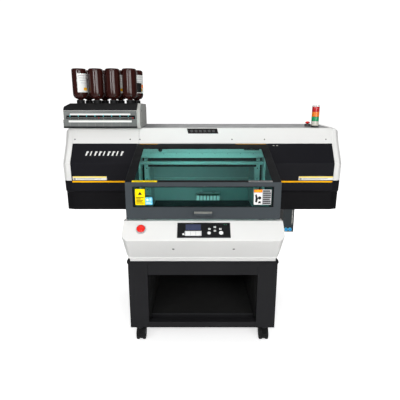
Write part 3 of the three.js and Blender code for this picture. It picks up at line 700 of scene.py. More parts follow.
# Display: sloping frame round a recessed lit pane
LCD_W, LCD_H, LCD_AT = 0.078, 0.036, (-0.050, 0.0775)
wide, tight = (rounded(LCD_W + grow, LCD_H + grow, 0.002, 3, LCD_AT) for grow in (0.007, -0.002))
low = PANEL_TOP - 0.0003
key_ring("display_frame", "black_plastic", (wide, low), (wide, PANEL_TOP + 0.0012),
         (tight, PANEL_TOP + 0.0006), (tight, low), (wide, low))
prisms("display_pane", KEYPAD_SLOT, "display", [rounded(LCD_W - 0.001, LCD_H - 0.001, 0.001, 3, LCD_AT)],
       PANEL_TOP - 0.0002, PANEL_TOP + 0.0003, "z", key_face)
prisms("function_key_field", KEYPAD_SLOT, "light_grey_plastic",
       [rounded(0.084, 0.0285, 0.003, 4, (-0.050, 0.042))],
       PANEL_TOP - 0.0001, PANEL_TOP + 0.0004, "z", key_face)

for name, (x, s, radius) in ROUND_KEYS.items():
    profile = [(0, KEY_FOOT), (radius, KEY_FOOT), (radius, KEY_TOP - 0.0006), (radius * 0.93, KEY_TOP),
               (radius * 0.6, KEY_TOP - 0.0003), (0, KEY_TOP - 0.0005)]
    cap = turnings(name + "_cap", KEY_SLOT, "key", profile, [(x, s, 0)], segments=40, at=key_face, body=name)
    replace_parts(cap, name)
    section = [(radius + grow, PANEL_TOP + lift) for grow, lift in ((0.0004, -0.0002), (0.0018, -0.0002),
                                                                    (0.0018, 0.0004), (0.0004, 0.0004))]
    turnings(name + "_surround", KEYPAD_SLOT, "dark_grey_plastic", section, [(x, s, 0)], segments=40,
             at=key_face)


def key_cap(name, x, s, width, height):
    """Rectangular cap with sloping edges, in place of a key's CAD node."""
    cap = Shape(key_face)
    low = rounded(width, height, 0.0018, 4, (x, s))
    high = rounded(width - 0.0016, height - 0.0016, 0.0014, 4, (x, s))
    cap.faces_from([[(a, b, n) for a, b in line] for line, n in
                    ((low, KEY_FOOT), (low, KEY_TOP - 0.0008), (high, KEY_TOP))])
    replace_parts(cap.piece(name + "_cap", name, KEY_SLOT, "key"), name)


for name, (x, s, turn) in ARROW_KEYS.items():
    key_cap(name, x, s, 0.011, 0.009)
    at = key_face @ Matrix.Translation((x, s, 0)) @ Matrix.Rotation(math.radians(turn), 4, "Z")
    prisms(name + "_arrow", KEY_SLOT, "print_dark", [[(0.0026, 0), (-0.0016, 0.0025), (-0.0016, -0.0025)]],
           KEY_TOP - 0.0002, KEY_TOP + 0.0002, "z", at, name)
for name, (x, s) in FUNCTION_KEYS.items():
    key_cap(name, x, s, 0.024, 0.024)
turnings("panel_lamps", KEYPAD_SLOT, "lens_green",
         [(0.0016, PANEL_TOP - 0.0002), (0.0016, PANEL_TOP + 0.0006)],
         [(0.107, 0.093, 0), (0.117, 0.093, 0)], segments=16, at=key_face)

# ---------- gantry covers ----------
GANTRY_HALF, CAP_EDGE = 0.8325, 0.785
STEP_TOP = 0.857  # height above which the lower covers stand proud
CREASE_AT, SLOPE_TOP, BAND_TOP = (-0.179, 1.026), (-0.106, 1.136), (-0.066, 1.225)
SIDES = (("left", -1), ("right", 1))


def shade_below_height(piece, material, height):
    """Second material on the faces that lie above a height, so that the faces below keep the first: here a
    darker copy of the paint, a painted shade.
    """
    piece.data.materials.append(MATERIALS[material])
    for face in piece.data.polygons:
        if face.center.z > height:
            face.material_index = 1


for side, sign in SIDES:
    refined(f"{side}_end_cap", "white", 0.004, 4, 14)
    refined(f"{side}_front_panel", "black", 0.0015, 3, 10)
    lower_cover = refined(f"{side}_lower_cover", "shaded_lower_black", 0.003, 3, 10)
    # the faces above the step get the plain black, those below keep the darker copy as painted shade
    shade_below_height(lower_cover, "black", STEP_TOP)
for node, paint in (("left_top_cover", "white"), ("centre_top_cover", "white"), ("gantry_shell", "shell")):
    refined(node, paint, 0.0015, 3, 10)

panel_front, panel_slope = slope_frame((-0.174, 0.9203), CREASE_AT), slope_frame(CREASE_AT, SLOPE_TOP)
band, skirt = slope_frame(SLOPE_TOP, BAND_TOP), slope_frame((-0.138, 0.736), (-0.150, 0.846))

PANEL_SLOT, COVER_SLOT = SLOT_OF["left_front_panel"], SLOT_OF["centre_top_cover"]
FILM = 0.0006
for side, x0, x1 in (("left", -0.777, -0.573), ("right", 0.578, 0.7835)):
    prisms(f"{side}_label_bar", PANEL_SLOT, "paper", [window_outline(x0, x1, 0.0030, 0.0265, 0.0015, 3)],
           0.0, FILM, "z", panel_front)
    prisms(f"{side}_label_stripe", PANEL_SLOT, "lemon",
           [window_outline(x0 + 0.0015, x1 - 0.0015, 0.0190, 0.0255, 0.0015, 3)],
           FILM - 0.0001, FILM + 0.0003, "z", panel_front)
    room = x1 - x0 - 0.03
    rows = [window_outline(x0 + 0.022, x0 + 0.022 + room * share, row - 0.0009, row + 0.0009, 0.0008, 2)
            for row, share in ((0.0140, 0.86), (0.0092, 0.62))]
    prisms(f"{side}_label_lines", PANEL_SLOT, "print_grey",
           [*rows, rounded(0.013, 0.011, 0.001, 2, (x0 + 0.011, 0.0105))],
           FILM - 0.0001, FILM + 0.0003, "z", panel_front)

# Slanted dashes across the left slope, and two small marks beside the hood's right corner
DASH_FOOT, DASH_TOP, LEAN = 0.050, 0.079, 0.007
dashes = []
for k in range(9):
    x, width = -0.700 + 0.0262 * k, (0.017, 0.009, 0.017)[k % 3]
    wide = x + 0.0045 + width * 0.3
    dashes.append([(x, DASH_FOOT), (wide, DASH_FOOT), (wide + LEAN, DASH_TOP), (x + LEAN, DASH_TOP)])
    if k % 3 != 1:
        start, end, low, high = x + width * 0.5, x + width * 1.15, DASH_FOOT + 0.021, DASH_FOOT + 0.0265
        dashes.append([(start, low), (end, low), (end + 0.0015, high), (start + 0.0015, high)])
prisms("left_slope_dashes", PANEL_SLOT, "paper", dashes, -0.0002, FILM, "z", panel_slope)
prisms("right_slope_marks", PANEL_SLOT, "pale_plastic",
       [rounded(0.010, 0.004, 0.0015, 3, (x, 0.118)) for x in (0.430, 0.452)], -0.0002, FILM, "z",
       panel_slope)

# Yellow trim along the step between the front panels and the lower covers
TRIM = [(-0.1748, 0.9095), (-0.1748, 0.9185), (-0.1739, 0.9185), (-0.1727, 0.9095)]
for side, x0, x1 in (("left", -0.781, -0.402), ("right", 0.471, 0.781)):
    prisms(f"{side}_yellow_trim", PANEL_SLOT, "yellow", [TRIM], x0, x1)

# Notch and louvres on the skirt of each lower cover, and dots on the right one
for side, sign in SIDES:
    inner, outer = spread(sign, 0.737, 0.779)
    prisms(f"{side}_skirt_notch", PANEL_SLOT, "inside",
           [[(inner, -0.0005), (outer, -0.0005), (outer - 0.004, 0.013), (inner + 0.004, 0.013)]],
           -0.0004, 0.0005, "z", skirt)
    prisms(f"{side}_skirt_louvres", PANEL_SLOT, "inside",
           slots(7, 0.13, 0.005, (0.12, 0.758), (0, 0.011), 0.0024),
           sign * 0.8265 - 0.003, sign * 0.8265 + 0.003)
turnings("right_skirt_dots", PANEL_SLOT, "pale_plastic",
         [(0, -0.0002), (0.0028, -0.0002), (0.0028, 0.0006), (0, 0.0009)],
         [(x, 0.052, 0) for x in (0.744, 0.758, 0.772)], segments=16, at=skirt)

# White band: plain badge with bars, screws, and the gasket in its seam
BADGE = (-0.094, 0.098)
badge_outline = [(BADGE[0] + 0.008, 0.063), (BADGE[1], 0.063), (BADGE[1] - 0.008, 0.0955), (BADGE[0], 0.0955)]
prisms("top_badge", COVER_SLOT, "print_dark", [badge_outline], -0.0002, 0.0012, "z", band, bevel=0.0004)
prisms("top_badge_bars", COVER_SLOT, "dark_grey_plastic",
       [[(x + 0.003, 0.072), (x + 0.019, 0.072), (x + 0.0165, 0.0865), (x, 0.0865)]
        for x in (BADGE[0] + 0.020 + 0.0265 * k for k in range(6))], 0.0010, 0.0015, "z", band)
screw_heads("band_screws", COVER_SLOT,
            [band @ Vector((x, 0.026, 0)) for x in (-0.772, -0.437, -0.378, 0.180, 0.377, 0.749)],
            band.col[2].xyz, 0.0042)
boxes("band_seam_gasket", COVER_SLOT, "rubber",
      [((-0.3845, -0.3835), (0.001, 0.096), (-0.004, -0.0012))], band)

# Seals in the joints of the panels: dark strips just below the surface
seals = Shape()
for side, sign in SIDES:
    seals.prism([(-0.170, 0.9215), (-0.1745, 1.0255), (-0.1035, 1.1345), (-0.0635, 1.2225), (0.245, 1.2375),
                 (0.326, 1.149), (0.326, 0.9215), (0.320, 0.9215), (0.320, 1.147), (0.242, 1.2315),
                 (-0.060, 1.2175), (-0.0985, 1.1335), (-0.168, 1.0235), (-0.1635, 0.9215)],
                *spread(sign, CAP_EDGE - 0.0042, CAP_EDGE + 0.0002))
seals.piece("end_cap_seals", "base", COVER_SLOT, "rubber")

# End caps: screws near the corners of each outer face, and a recessed hand grip towards the rear
CAP_SCREWS = ((-0.135, 0.955), (-0.070, 1.135), (0.215, 1.195), (0.285, 0.955), (0.285, 1.115))
for side, sign in SIDES:
    screw_heads(f"{side}_cap_screws", COVER_SLOT, [(sign * GANTRY_HALF, y, z) for y, z in CAP_SCREWS],
                (sign, 0, 0), 0.0045)
    prisms(f"{side}_cap_hand_recess", COVER_SLOT, "dark_grey_plastic",
           [rounded(0.12, 0.028, 0.012, 6, (0.07, 0.965))],
           *spread(sign, GANTRY_HALF - 0.003, GANTRY_HALF + 0.0006), bevel=0.001)

# ---------- rear hood and rear face ----------
REAR_Y, LOUVRE_PITCH = 0.645, (0, 0.0125)


def louvres(name, slot, count, width, firsts, start, end, axis="y"):
    """Fields of slots, each column rising from its first one."""
    outlines = [line for first in firsts for line in slots(count, width, 0.006, first, LOUVRE_PITCH)]
    prisms(name, slot, "inside", outlines, start, end, axis)


louvres("rear_hood_louvres", COVER_SLOT, 10, 0.20, ((-0.20, 0.83), (0.20, 0.83)), REAR_Y - 0.002,
        REAR_Y + 0.0008)
rear_screws = [(x, REAR_Y, z) for x in (-0.375, -0.13, 0.13, 0.375) for z in (0.805, 0.94)]
screw_heads("rear_hood_screws", COVER_SLOT, rear_screws, (0, 1, 0), 0.0045)
for side, sign in SIDES:
    screw_heads(f"rear_hood_side_screws_{side}", COVER_SLOT,
                [(sign * 0.400, y, 0.805) for y in (0.36, 0.50, 0.62)], (sign, 0, 0), 0.0045)
prisms("rear_hood_ribs", COVER_SLOT, "white",
       [rounded(0.008, 0.20, 0.003, 3, (x, 0.47)) for x in (-0.26, 0.0, 0.26)],
       0.9995, 1.0015, "z", bevel=0.0008)

# Power inlet with its pins and screws, and the rating plate with plain bars
HOUSING_SLOT = SLOT_OF["base_housing"]
INLET_X, INLET_Z = -0.300, 0.640
inlet = Shape()
inlet.prism(rounded(0.043, 0.025, 0.004, 4, (INLET_X, INLET_Z)), 0.6325, 0.634, "y")
inlet.prism(rounded(0.026, 0.014, 0.003, 4, (INLET_X, INLET_Z)), 0.6338, 0.641, "y")
inlet.piece("inlet_body", "base", HOUSING_SLOT, "black_plastic", 0.0004)
boxes("inlet_pins", HOUSING_SLOT, "chrome",
      [((x - 0.001, x + 0.001), (0.6405, 0.6425), (z - 0.002, z + 0.002))
       for x, z in ((INLET_X - 0.007, INLET_Z - 0.002), (INLET_X + 0.007, INLET_Z - 0.002),
                    (INLET_X, INLET_Z + 0.003))])
screw_heads("inlet_screws", HOUSING_SLOT, [(INLET_X + dx, 0.643, INLET_Z) for dx in (-0.026, 0.026)],
            (0, 1, 0), 0.0025, "chrome")
prisms("rating_plate", HOUSING_SLOT, "satin_aluminium", [rounded(0.11, 0.06, 0.002, 2, (0.27, 0.66))], 0.6398,
       0.6405, "y")
prisms("rating_plate_lines", HOUSING_SLOT, "print_grey",
       [rounded(0.085 * share, 0.003, 0.001, 2, (0.27 + 0.0425 * (1 - share), 0.677 - 0.011 * k))
        for k, share in enumerate((0.9, 0.7, 0.8, 0.5))], 0.6403, 0.6408, "y")
louvres("rear_lower_louvres", HOUSING_SLOT, 8, 0.22, [(0.0, 0.60)], 0.6385, 0.6406)

# Housing sides: access cover and louvres on each
for side, sign in SIDES:
    prisms(f"{side}_access_cover", HOUSING_SLOT, "white", [rounded(0.42, 0.13, 0.008, 4, (-0.12, 0.665))],
           *spread(sign, 0.3995, 0.4012), bevel=0.0006)
    screw_heads(f"{side}_access_screws", HOUSING_SLOT,
                [(sign * 0.4012, y, z) for y in (-0.315, 0.075) for z in (0.612, 0.718)], (sign, 0, 0), 0.004)
    louvres(f"{side}_housing_louvres", HOUSING_SLOT, 9, 0.16, [(0.47, 0.62)],
            *spread(sign, 0.3985, 0.4007), "x")

# Gantry's rear: screws along the top edge and louvre fields either side of the rear hood
SHELL_SLOT = SLOT_OF["gantry_shell"]
screw_heads("shell_screws", SHELL_SLOT,
            [(x, 0.330, z) for x in (-0.76, -0.58, -0.42, 0.42, 0.58, 0.76) for z in (0.935, 1.13)],
            (0, 1, 0), 0.0045)
louvres("shell_louvres", SHELL_SLOT, 11, 0.24, ((-0.60, 0.965), (0.60, 0.965)), 0.3285, 0.3307)

# ---------- bed and gantry machinery, seen through the tinted windows ----------
BED_SLOT, FRAME_SLOT, CARRIAGE_SLOT = SLOT_OF["bed_frame"], SLOT_OF["gantry_frame"], SLOT_OF["print_carriage"]
for node, material, edge in (("bed_frame", "satin_aluminium", 0.0012), ("table_saddle", "steel", 0.0012),
                             ("lift_stage", "dark_steel", 0.001), ("print_table", "table", 0.0012),
                             ("gantry_frame", "frame_paint", 0.0012),
                             ("print_carriage", "black_plastic", 0.003),
                             ("capping_station", "grey_plastic", 0.0015)):
    refined(node, material, edge)

# Grey liners just inside the white walls of the tunnel and the base, and dark sheets on the base's floor
# beside the bed: they keep the inside darker than the white walls
across = (-0.386, 0.386)
walls = [(spread(sign, inner, 0.3876), along, up) for sign in (-1, 1)
         for inner, along, up in ((0.3868, (0.336, 0.630), (0.795, 0.985)),
                                  (0.3858, (-0.505, 0.625), (0.575, 0.789)))]
boxes("tunnel_liners", BED_SLOT, "liner", [*walls, (across, (0.6262, 0.6276), (0.576, 0.789)),
                                           (across, (0.6318, 0.6326), (0.795, 0.945)),
                                           (across, (0.336, 0.590), (0.9865, 0.9878))])
boxes("bed_floor_sheets", BED_SLOT, "black_and_shade",
      [(spread(sign, 0.217, 0.387), (-0.505, 0.625), (0.5731, 0.5742)) for sign in (-1, 1)])

# Drive unit behind the bed: lighter cover with slots, knurled knobs
DRIVE_X = (-0.0375, 0.1455)
boxes("drive_unit_face", BED_SLOT, "key", [(DRIVE_X, (0.4785, 0.4798), (0.606, 0.694)),
                                           (DRIVE_X, (0.4785, 0.5500), (0.6776, 0.694))], bevel=0.0006)
prisms("drive_unit_slots", BED_SLOT, "dark_steel",
       slots(6, 0.006, 0.042, (-0.012, 0.662), (0.026, 0), 0.0028), 0.4778, 0.4790, "y")
for name, x in (("left", 0.005), ("right", 0.098)):
    knob = Shape()
    knob.prism(knurled((x, 0.520), 0.0125, 0.0008, 28), 0.6936, 0.7105, "z")
    knob.turned([(0.009, 0.710), (0.010, 0.7115), (0.0, 0.7125)], (x, 0.520, 0), segments=28)
    knob.piece(f"drive_knob_{name}", "base", BED_SLOT, "chrome", 0.0003)

# Table: a scale with ticks along each side
table_slot = SLOT_OF["print_table"]
table = span("print_table")
table_top, tick_foot = table[5], table[1] + 0.02
tick_level = (table_top + 0.0003, table_top + 0.0006)
for side, x, inward in (("left", table[0], 1), ("right", table[3], -1)):
    boxes(f"table_{side}_scale", table_slot, "steel",
          [(sorted((x + inward * 0.002, x + inward * 0.012)), (table[1] + 0.004, table[4] - 0.004),
            (table_top - 0.0002, table_top + 0.0004))], body="table")
    ticks = []
    for k in range(20):
        tip = x + inward * (0.010 if k % 5 == 0 else 0.007)
        y = tick_foot + 0.02 * k
        ticks.append((sorted((x + inward * 0.003, tip)), (y, y + 0.0008), tick_level))
    boxes(f"table_{side}_ticks", table_slot, "print_dark", ticks, body="table")

# Beam: linear guide, toothed belt, port, work lamp with a painted shadow under it, dark sheets of painted
# shade, lower guide bar and brackets
prisms("beam_linear_guide", FRAME_SLOT, "frame_paint",
       [[(-0.0466, 1.0605), (-0.0455, 1.0600), (-0.0455, 1.0750), (-0.0466, 1.0745)]], -0.758, 0.758)
boxes("beam_belt", FRAME_SLOT, "rubber", [((-0.74, 0.74), (-0.0420, -0.0398), (1.122, 1.128))])
guide_bolts = [(-0.72 + 0.08 * k, -0.0458, 1.0675) for k in range(19)]
screw_heads("beam_guide_bolts", FRAME_SLOT, guide_bolts, (0, -1, 0), 0.0026)
turnings("beam_port", FRAME_SLOT, "inside",
         [(0, 0), (0.0125, 0), (0.0125, 0.0016), (0.0100, 0.0022), (0, 0.0010)],
         [(-0.262, -0.0425, 1.090)], "y")
prisms("beam_work_lamp", FRAME_SLOT, "lamp_white",
       [[(-0.0468, 1.095), (-0.0398, 1.095), (-0.0398, 1.107), (-0.0440, 1.107)]], 0.267, 0.351, bevel=0.0006)
# Dark strip just under the work lamp: a painted shadow
boxes("beam_work_lamp_shadow", FRAME_SLOT, "black_and_shade",
      [((0.262, 0.356), (-0.0458, -0.0398), (1.0870, 1.0948))],
      bevel=0.0006)
# Dark sheets behind the beam and beside the tunnel: painted shade
boxes("beam_shade_sheets", FRAME_SLOT, "black_and_shade",
      [((-0.345, 0.345), (-0.0188, -0.0170), (0.980, 1.0395)),
       *((spread(sign, 0.3700, 0.3800), (-0.0100, -0.0085), (0.796, 1.0395)) for sign in (-1, 1))])
prisms("lower_guide_bar", FRAME_SLOT, "liner", [rounded(0.018, 0.022, 0.003, 4, (-0.029, 1.007))], -0.3865,
       0.3865)
for side, sign in SIDES:
    boxes(f"{side}_inner_bracket", FRAME_SLOT, "satin_aluminium",
          [(spread(sign, inner, outer), (-0.012, back), (0.796, 1.030))
           for inner, outer, back in ((0.3695, 0.3640, 0.030), (0.3645, 0.3390, -0.007),
                                      (0.3430, 0.3350, 0.010))],
          bevel=0.0008)
    screw_heads(f"{side}_bracket_screws", FRAME_SLOT,
                [(sign * 0.354, -0.012, z) for z in (0.83, 0.90, 0.97)], (0, -1, 0), 0.004)

# Carriage: ribbed lamp heads at both ends, front cover, nozzle plate; and the seals of its station
car = span("print_carriage")
car_front, car_foot, car_middle = car[1], car[2], (car[0] + car[3]) / 2
fins = [x0 + 0.0048 * k for x0 in (car[0] + 0.004, car[3] - 0.040) for k in range(8)]
boxes("carriage_lamp_fins", CARRIAGE_SLOT, "dark_steel",
      [((x, x + 0.0024), (car_front - 0.0026, car_front + 0.002), (0.940, 1.050)) for x in fins],
      body="carriage")
prisms("carriage_cover", CARRIAGE_SLOT, "dark_grey_plastic",
       [rounded(0.120, 0.095, 0.006, 4, (car_middle, 0.995))],
       car_front - 0.0022, car_front + 0.001, "y", body="carriage", bevel=0.0008)
boxes("carriage_nozzle_plate", CARRIAGE_SLOT, "steel",
      [((car[0] + 0.05, car[3] - 0.05), (car_front + 0.008, car[4] - 0.008),
        (car_foot - 0.0018, car_foot + 0.001))],
      body="carriage")
screw_heads("carriage_screws", CARRIAGE_SLOT,
            [(car_middle + dx, car_front - 0.0022, z) for dx in (-0.052, 0.052) for z in (0.956, 1.034)],
            (0, -1, 0), 0.0025, "chrome", "carriage")
prisms("capping_seals", SLOT_OF["capping_station"], "rubber",
       [rounded(0.044, 0.044, 0.005, 4, (x, -0.080)) for x in (0.570, 0.635, 0.700)], 0.9278, 0.9298, "z")

# ---------- hood ----------
HOOD_FRONT, HOOD_SHOULDER, HOOD_HINGE_END = -0.550, 0.982, (-0.112, 1.134)
HOOD_HALF, GLASS_HALF = 0.392, 0.355
GLASS_FOOT, GLASS_TOP = 0.018, 0.405
HOOD_SLOT, GLASS_SLOT = SLOT_OF["hood_frame"], SLOT_OF["hood_top_window"]
refined("hood_frame", "slate", 0.0022, 3, 18)
refined("hood_front_window", "glass", 0.0)
refined("hood_top_window", "glass", 0.0)
hood_slope = slope_frame((HOOD_FRONT, HOOD_SHOULDER), HOOD_HINGE_END)
slope_length = math.hypot(HOOD_HINGE_END[0] - HOOD_FRONT, HOOD_HINGE_END[1] - HOOD_SHOULDER)


def hood_border(name, slot, at, axis, low, high, outer, inner):
    """Flat dark plate with an opening. Each outline is (half width, start, end, corner radius)."""
    made = Shape(at)
    place = {"z": lambda a, b, n: (a, b, n), "y": lambda a, b, n: (a, n, b)}[axis]
    outer, inner = (window_outline(-half, half, *others) for half, *others in (outer, inner))
    levels = ((outer, low), (outer, high), (inner, high), (inner, low), (outer, low))
    made.faces_from([[place(a, b, n) for a, b in line] for line, n in levels], closed_ends=False)
    bmesh.ops.remove_doubles(made.mesh, verts=made.mesh.verts, dist=1e-6)
    made.piece(name, "hood", slot, "black_and_shade")


# Dark plate over the sloped frame bars: painted shade, as these bars lie in shadow
hood_border("hood_slope_shade_plate", HOOD_SLOT, hood_slope, "z", -0.0004, 0.0006,
            (HOOD_HALF - 0.0015, 0.0012, slope_length - 0.001, 0.002),
            (GLASS_HALF - 0.001, GLASS_FOOT + 0.001, GLASS_TOP - 0.001, 0.004))
hood_border("hood_top_border", GLASS_SLOT, hood_slope, "z", -0.0013, -0.0007,
            (GLASS_HALF - 0.0005, GLASS_FOOT + 0.0005, GLASS_TOP - 0.0005, 0.003),
            (GLASS_HALF - 0.009, GLASS_FOOT + 0.004, GLASS_TOP - 0.012, 0.006))
hood_border("hood_front_border", GLASS_SLOT, None, "y", HOOD_FRONT + 0.0008, HOOD_FRONT + 0.0014,
            (0.3545, 0.8545, 0.9595, 0.003), (0.3505, 0.8580, 0.9560, 0.005))
for name, x, up, top, tone in (("yellow", (-0.357, -0.231), 0.0165, 0.0012, "lemon"),
                               ("grey", (0.227, 0.347), 0.0150, 0.0011, "print_grey")):
    boxes(f"hood_{name}_strip", HOOD_SLOT, tone, [(x, (0.0015, up), (0.0005, top))], hood_slope, "hood")
strip_lines = Shape(hood_slope)
for x0, x1, level in ((-0.345, -0.300, 0.0011), (-0.292, -0.243, 0.0011), (0.237, 0.275, 0.0010),
                      (0.282, 0.335, 0.0010)):
    strip_lines.prism(window_outline(x0, x1, 0.0071, 0.0099, 0.001, 2), level, level + 0.0004, "z")
strip_lines.piece("hood_strip_lines", "hood", HOOD_SLOT, "print_dark")
boxes("hood_hinge_trim", HOOD_SLOT, "yellow",
      [(x, (slope_length - 0.0050, slope_length - 0.0020), (0.0005, 0.0012))
       for x in ((-0.375, -0.268), (0.200, 0.381))], hood_slope, "hood")

# Labels on the front window
LABEL_Y = HOOD_FRONT + 0.0014


def label(name, x0, x1, z0, z1, material, *marks):
    """Film on the front window with simple marks, given as tones and outlines of points inside the film."""
    film = [window_outline(x0, x1, z0, z1, 0.0012)]
    prisms(name, GLASS_SLOT, material, film, LABEL_Y - 0.0006, LABEL_Y, "y", body="hood")
    for index, (tone, outlines) in enumerate(marks):
        prisms(f"{name}_marks_{index + 1}", GLASS_SLOT, tone, outlines, LABEL_Y - 0.0009,
               LABEL_Y - 0.0005, "y", body="hood")


def bars_between(x0, x1, z0, z1, count, fill=0.45, shares=(1.0, 0.8, 0.9, 0.6)):
    """Rows of plain bars that stand for lines of writing."""
    pitch = (z1 - z0) / count
    return [window_outline(x0, x0 + (x1 - x0) * shares[k % len(shares)], z0 + pitch * (k + 0.5 - fill / 2),
                           z0 + pitch * (k + 0.5 + fill / 2), 0.0005) for k in range(count)]


label("caution_label", -0.342, -0.293, 0.865, 0.948, "lemon",
      ("print_dark", [[(-0.3175, 0.935), (-0.3275, 0.918), (-0.3075, 0.918)],
                      *bars_between(-0.337, -0.299, 0.872, 0.908, 5)]))
label("notice_label", -0.2915, -0.256, 0.867, 0.905, "sky",
      ("paper", [ring_of(-0.281, 0.892, 0.006), *bars_between(-0.270, -0.260, 0.884, 0.900, 3),
                 *bars_between(-0.288, -0.260, 0.870, 0.881, 2)]))
label("hazard_heading", 0.255, 0.297, 0.9305, 0.945, "orange",
      ("yellow", bars_between(0.261, 0.291, 0.9345, 0.941, 1, 0.8)))
label("hazard_picture", 0.255, 0.297, 0.867, 0.9295, "paper",
      ("print_dark", [[(0.262, 0.880), (0.272, 0.878), (0.276, 0.898), (0.268, 0.922), (0.261, 0.916),
                       (0.264, 0.900)], ring_of(0.284, 0.902, 0.0085),
                      [(0.276, 0.874), (0.292, 0.874), (0.289, 0.886), (0.280, 0.884)]]))
label("hazard_notes", 0.2975, 0.343, 0.867, 0.945, "light_grey_plastic",
      ("print_dark", bars_between(0.3005, 0.340, 0.8695, 0.9425, 7, 0.66, (1.0, 1.0, 0.9, 1.0))))

# Lighter strip along the handle's top edge, a painted highlight, and the pads that the hood rests on
prisms("hood_grip_top_highlight", HOOD_SLOT, "pale_plastic",
       [[(-0.5745, 0.8278), (-0.5505, 0.8298), (-0.5505, 0.8306), (-0.5745, 0.8287)]], -0.0455, 0.0455,
       body="hood", bevel=0.0003)
prisms("hood_rest_pads", HOOD_SLOT, "rubber",
       [rounded(0.03, 0.010, 0.003, 4, (x, -0.545)) for x in (-0.30, 0.30)],
       0.7893, 0.7906, "z", body="hood")

# ---------- ink unit ----------
INK_SLOT, TRAY_SLOT = SLOT_OF["ink_unit"], SLOT_OF["bottle_tray"]
UNIT_LEFT, UNIT_FRONT, _, UNIT_RIGHT, UNIT_BACK, _ = span("ink_unit")
FRONT_RIGHT = -0.390
refined("ink_unit", "ink_grey", 0.003, 3, 12)
refined("bottle_tray", "black_plastic", 0.0015, 2, 30)

# Bars on the unit's front: name, limits, how far each stands out of it, material, corner radius
for name, x0, x1, z0, z1, out, material, corner in (
        ("upper_face", UNIT_LEFT + 0.003, FRONT_RIGHT - 0.002, 1.278, 1.328, 0.0030, "clear_smoke", 0.004),
        ("lower_face", UNIT_LEFT - 0.001, FRONT_RIGHT - 0.002, 1.2340, 1.2775, 0.0075, "clear_smoke", 0.004),
        ("upper_strip", -0.788, -0.428, 1.3030, 1.3125, 0.0040, "paper", 0.002),
        ("lower_strip", -0.797, -0.421, 1.2610, 1.2730, 0.0085, "paper", 0.002),
        ("slot_row", -0.811, -0.401, 1.2795, 1.3010, 0.0036, "black_and_shade", 0.002),
        ("slot_rail", -0.806, -0.410, 1.2850, 1.2885, 0.0046, "grey_plastic", 0.001),
        ("base_line", UNIT_LEFT - 0.001, FRONT_RIGHT, 1.2275, 1.2372, 0.0095, "black_and_shade", 0.001)):
    prisms(f"ink_unit_{name}", INK_SLOT, material, [window_outline(x0, x1, z0, z1, corner)], UNIT_FRONT - out,
           UNIT_FRONT + 0.0015, "y", bevel=0.0004)
INK_SLOTS = [-0.7880 + 0.0496 * k for k in range(8)]
boxes("ink_unit_dividers", INK_SLOT, "print_grey",
      [((x - half, x + half), (UNIT_FRONT - out, UNIT_FRONT - sunk), up) for x in INK_SLOTS
       for half, out, sunk, up in ((0.0006, 0.0082, 0.0070, (1.2375, 1.2590)),
                                   (0.0010, 0.0044, 0.0030, (1.2800, 1.2845)))])
prisms("ink_unit_slot_lamps", INK_SLOT, "cyan_lamp",
       [rounded(0.0035, 0.0110, 0.001, 2, (x, 1.3000)) for x in INK_SLOTS],
       UNIT_FRONT - 0.0050, UNIT_FRONT - 0.0030, "y")
prisms("ink_unit_status_spots", INK_SLOT, "dull_red", [ring_of(x, 1.2868, 0.0036) for x in (-0.617, -0.414)],
       UNIT_FRONT - 0.0056, UNIT_FRONT - 0.0040, "y")
prisms("ink_unit_side_plate", INK_SLOT, "ink_grey", [rounded(0.20, 0.09, 0.012, 5, (0.05, 1.292))],
       UNIT_RIGHT - 0.0008, UNIT_RIGHT + 0.0010, bevel=0.0006)
screw_heads("ink_unit_cap_screws", INK_SLOT,
            [(UNIT_RIGHT + 0.0010, y, z) for y in (-0.038, 0.138) for z in (1.256, 1.328)], (1, 0, 0),
            0.0035)
screw_heads("ink_unit_left_screws", INK_SLOT,
            [(UNIT_LEFT, y, z) for y in (-0.075, 0.165) for z in (1.262, 1.315)], (-1, 0, 0), 0.0035)
prisms("ink_unit_rear_slots", INK_SLOT, "inside", slots(14, 0.012, 0.055, (-0.79, 1.287), (0.028, 0), 0.005),
       UNIT_BACK - 0.0008, UNIT_BACK + 0.0008, "y")

# ---------- bottles, each standing on its neck in a socket ----------
BOTTLE_BASE, RADIUS, NECK_RADIUS, FOOT_Z = 1.572, 0.043, 0.015, 1.3694
ROWS, BOTTLE_PITCH = ((-0.739, -0.030), (-0.717, 0.075)), 0.1003


def arc(centre, radius, start, end, steps):
    """Arc in the (radius, height) plane, angles in degrees."""
    return [(centre[0] + radius * math.cos(math.radians(start + (end - start) * k / steps)),
             centre[1] + radius * math.sin(math.radians(start + (end - start) * k / steps)))
            for k in range(steps + 1)]


def wrapped(name, node, centre, out, start, end, z0, z1, material):
    """Film wrapped round a bottle between two directions, in degrees from the front towards the right."""
    made = Shape()
    steps = max(4, int(abs(end - start) / 6))
    near, far = RADIUS + out, RADIUS + out + 0.0003
    for_ring = ((near, z0), (far, z0), (far, z1), (near, z1))
    turns = (math.radians(start + (end - start) * k / steps) for k in range(steps + 1))
    made.faces_from([[(centre[0] + r * math.sin(a), centre[1] - r * math.cos(a), z) for r, z in for_ring]
                     for a in turns])
    made.piece(f"{node}_{name}", BODY_OF[node], SLOT_OF[node], material)


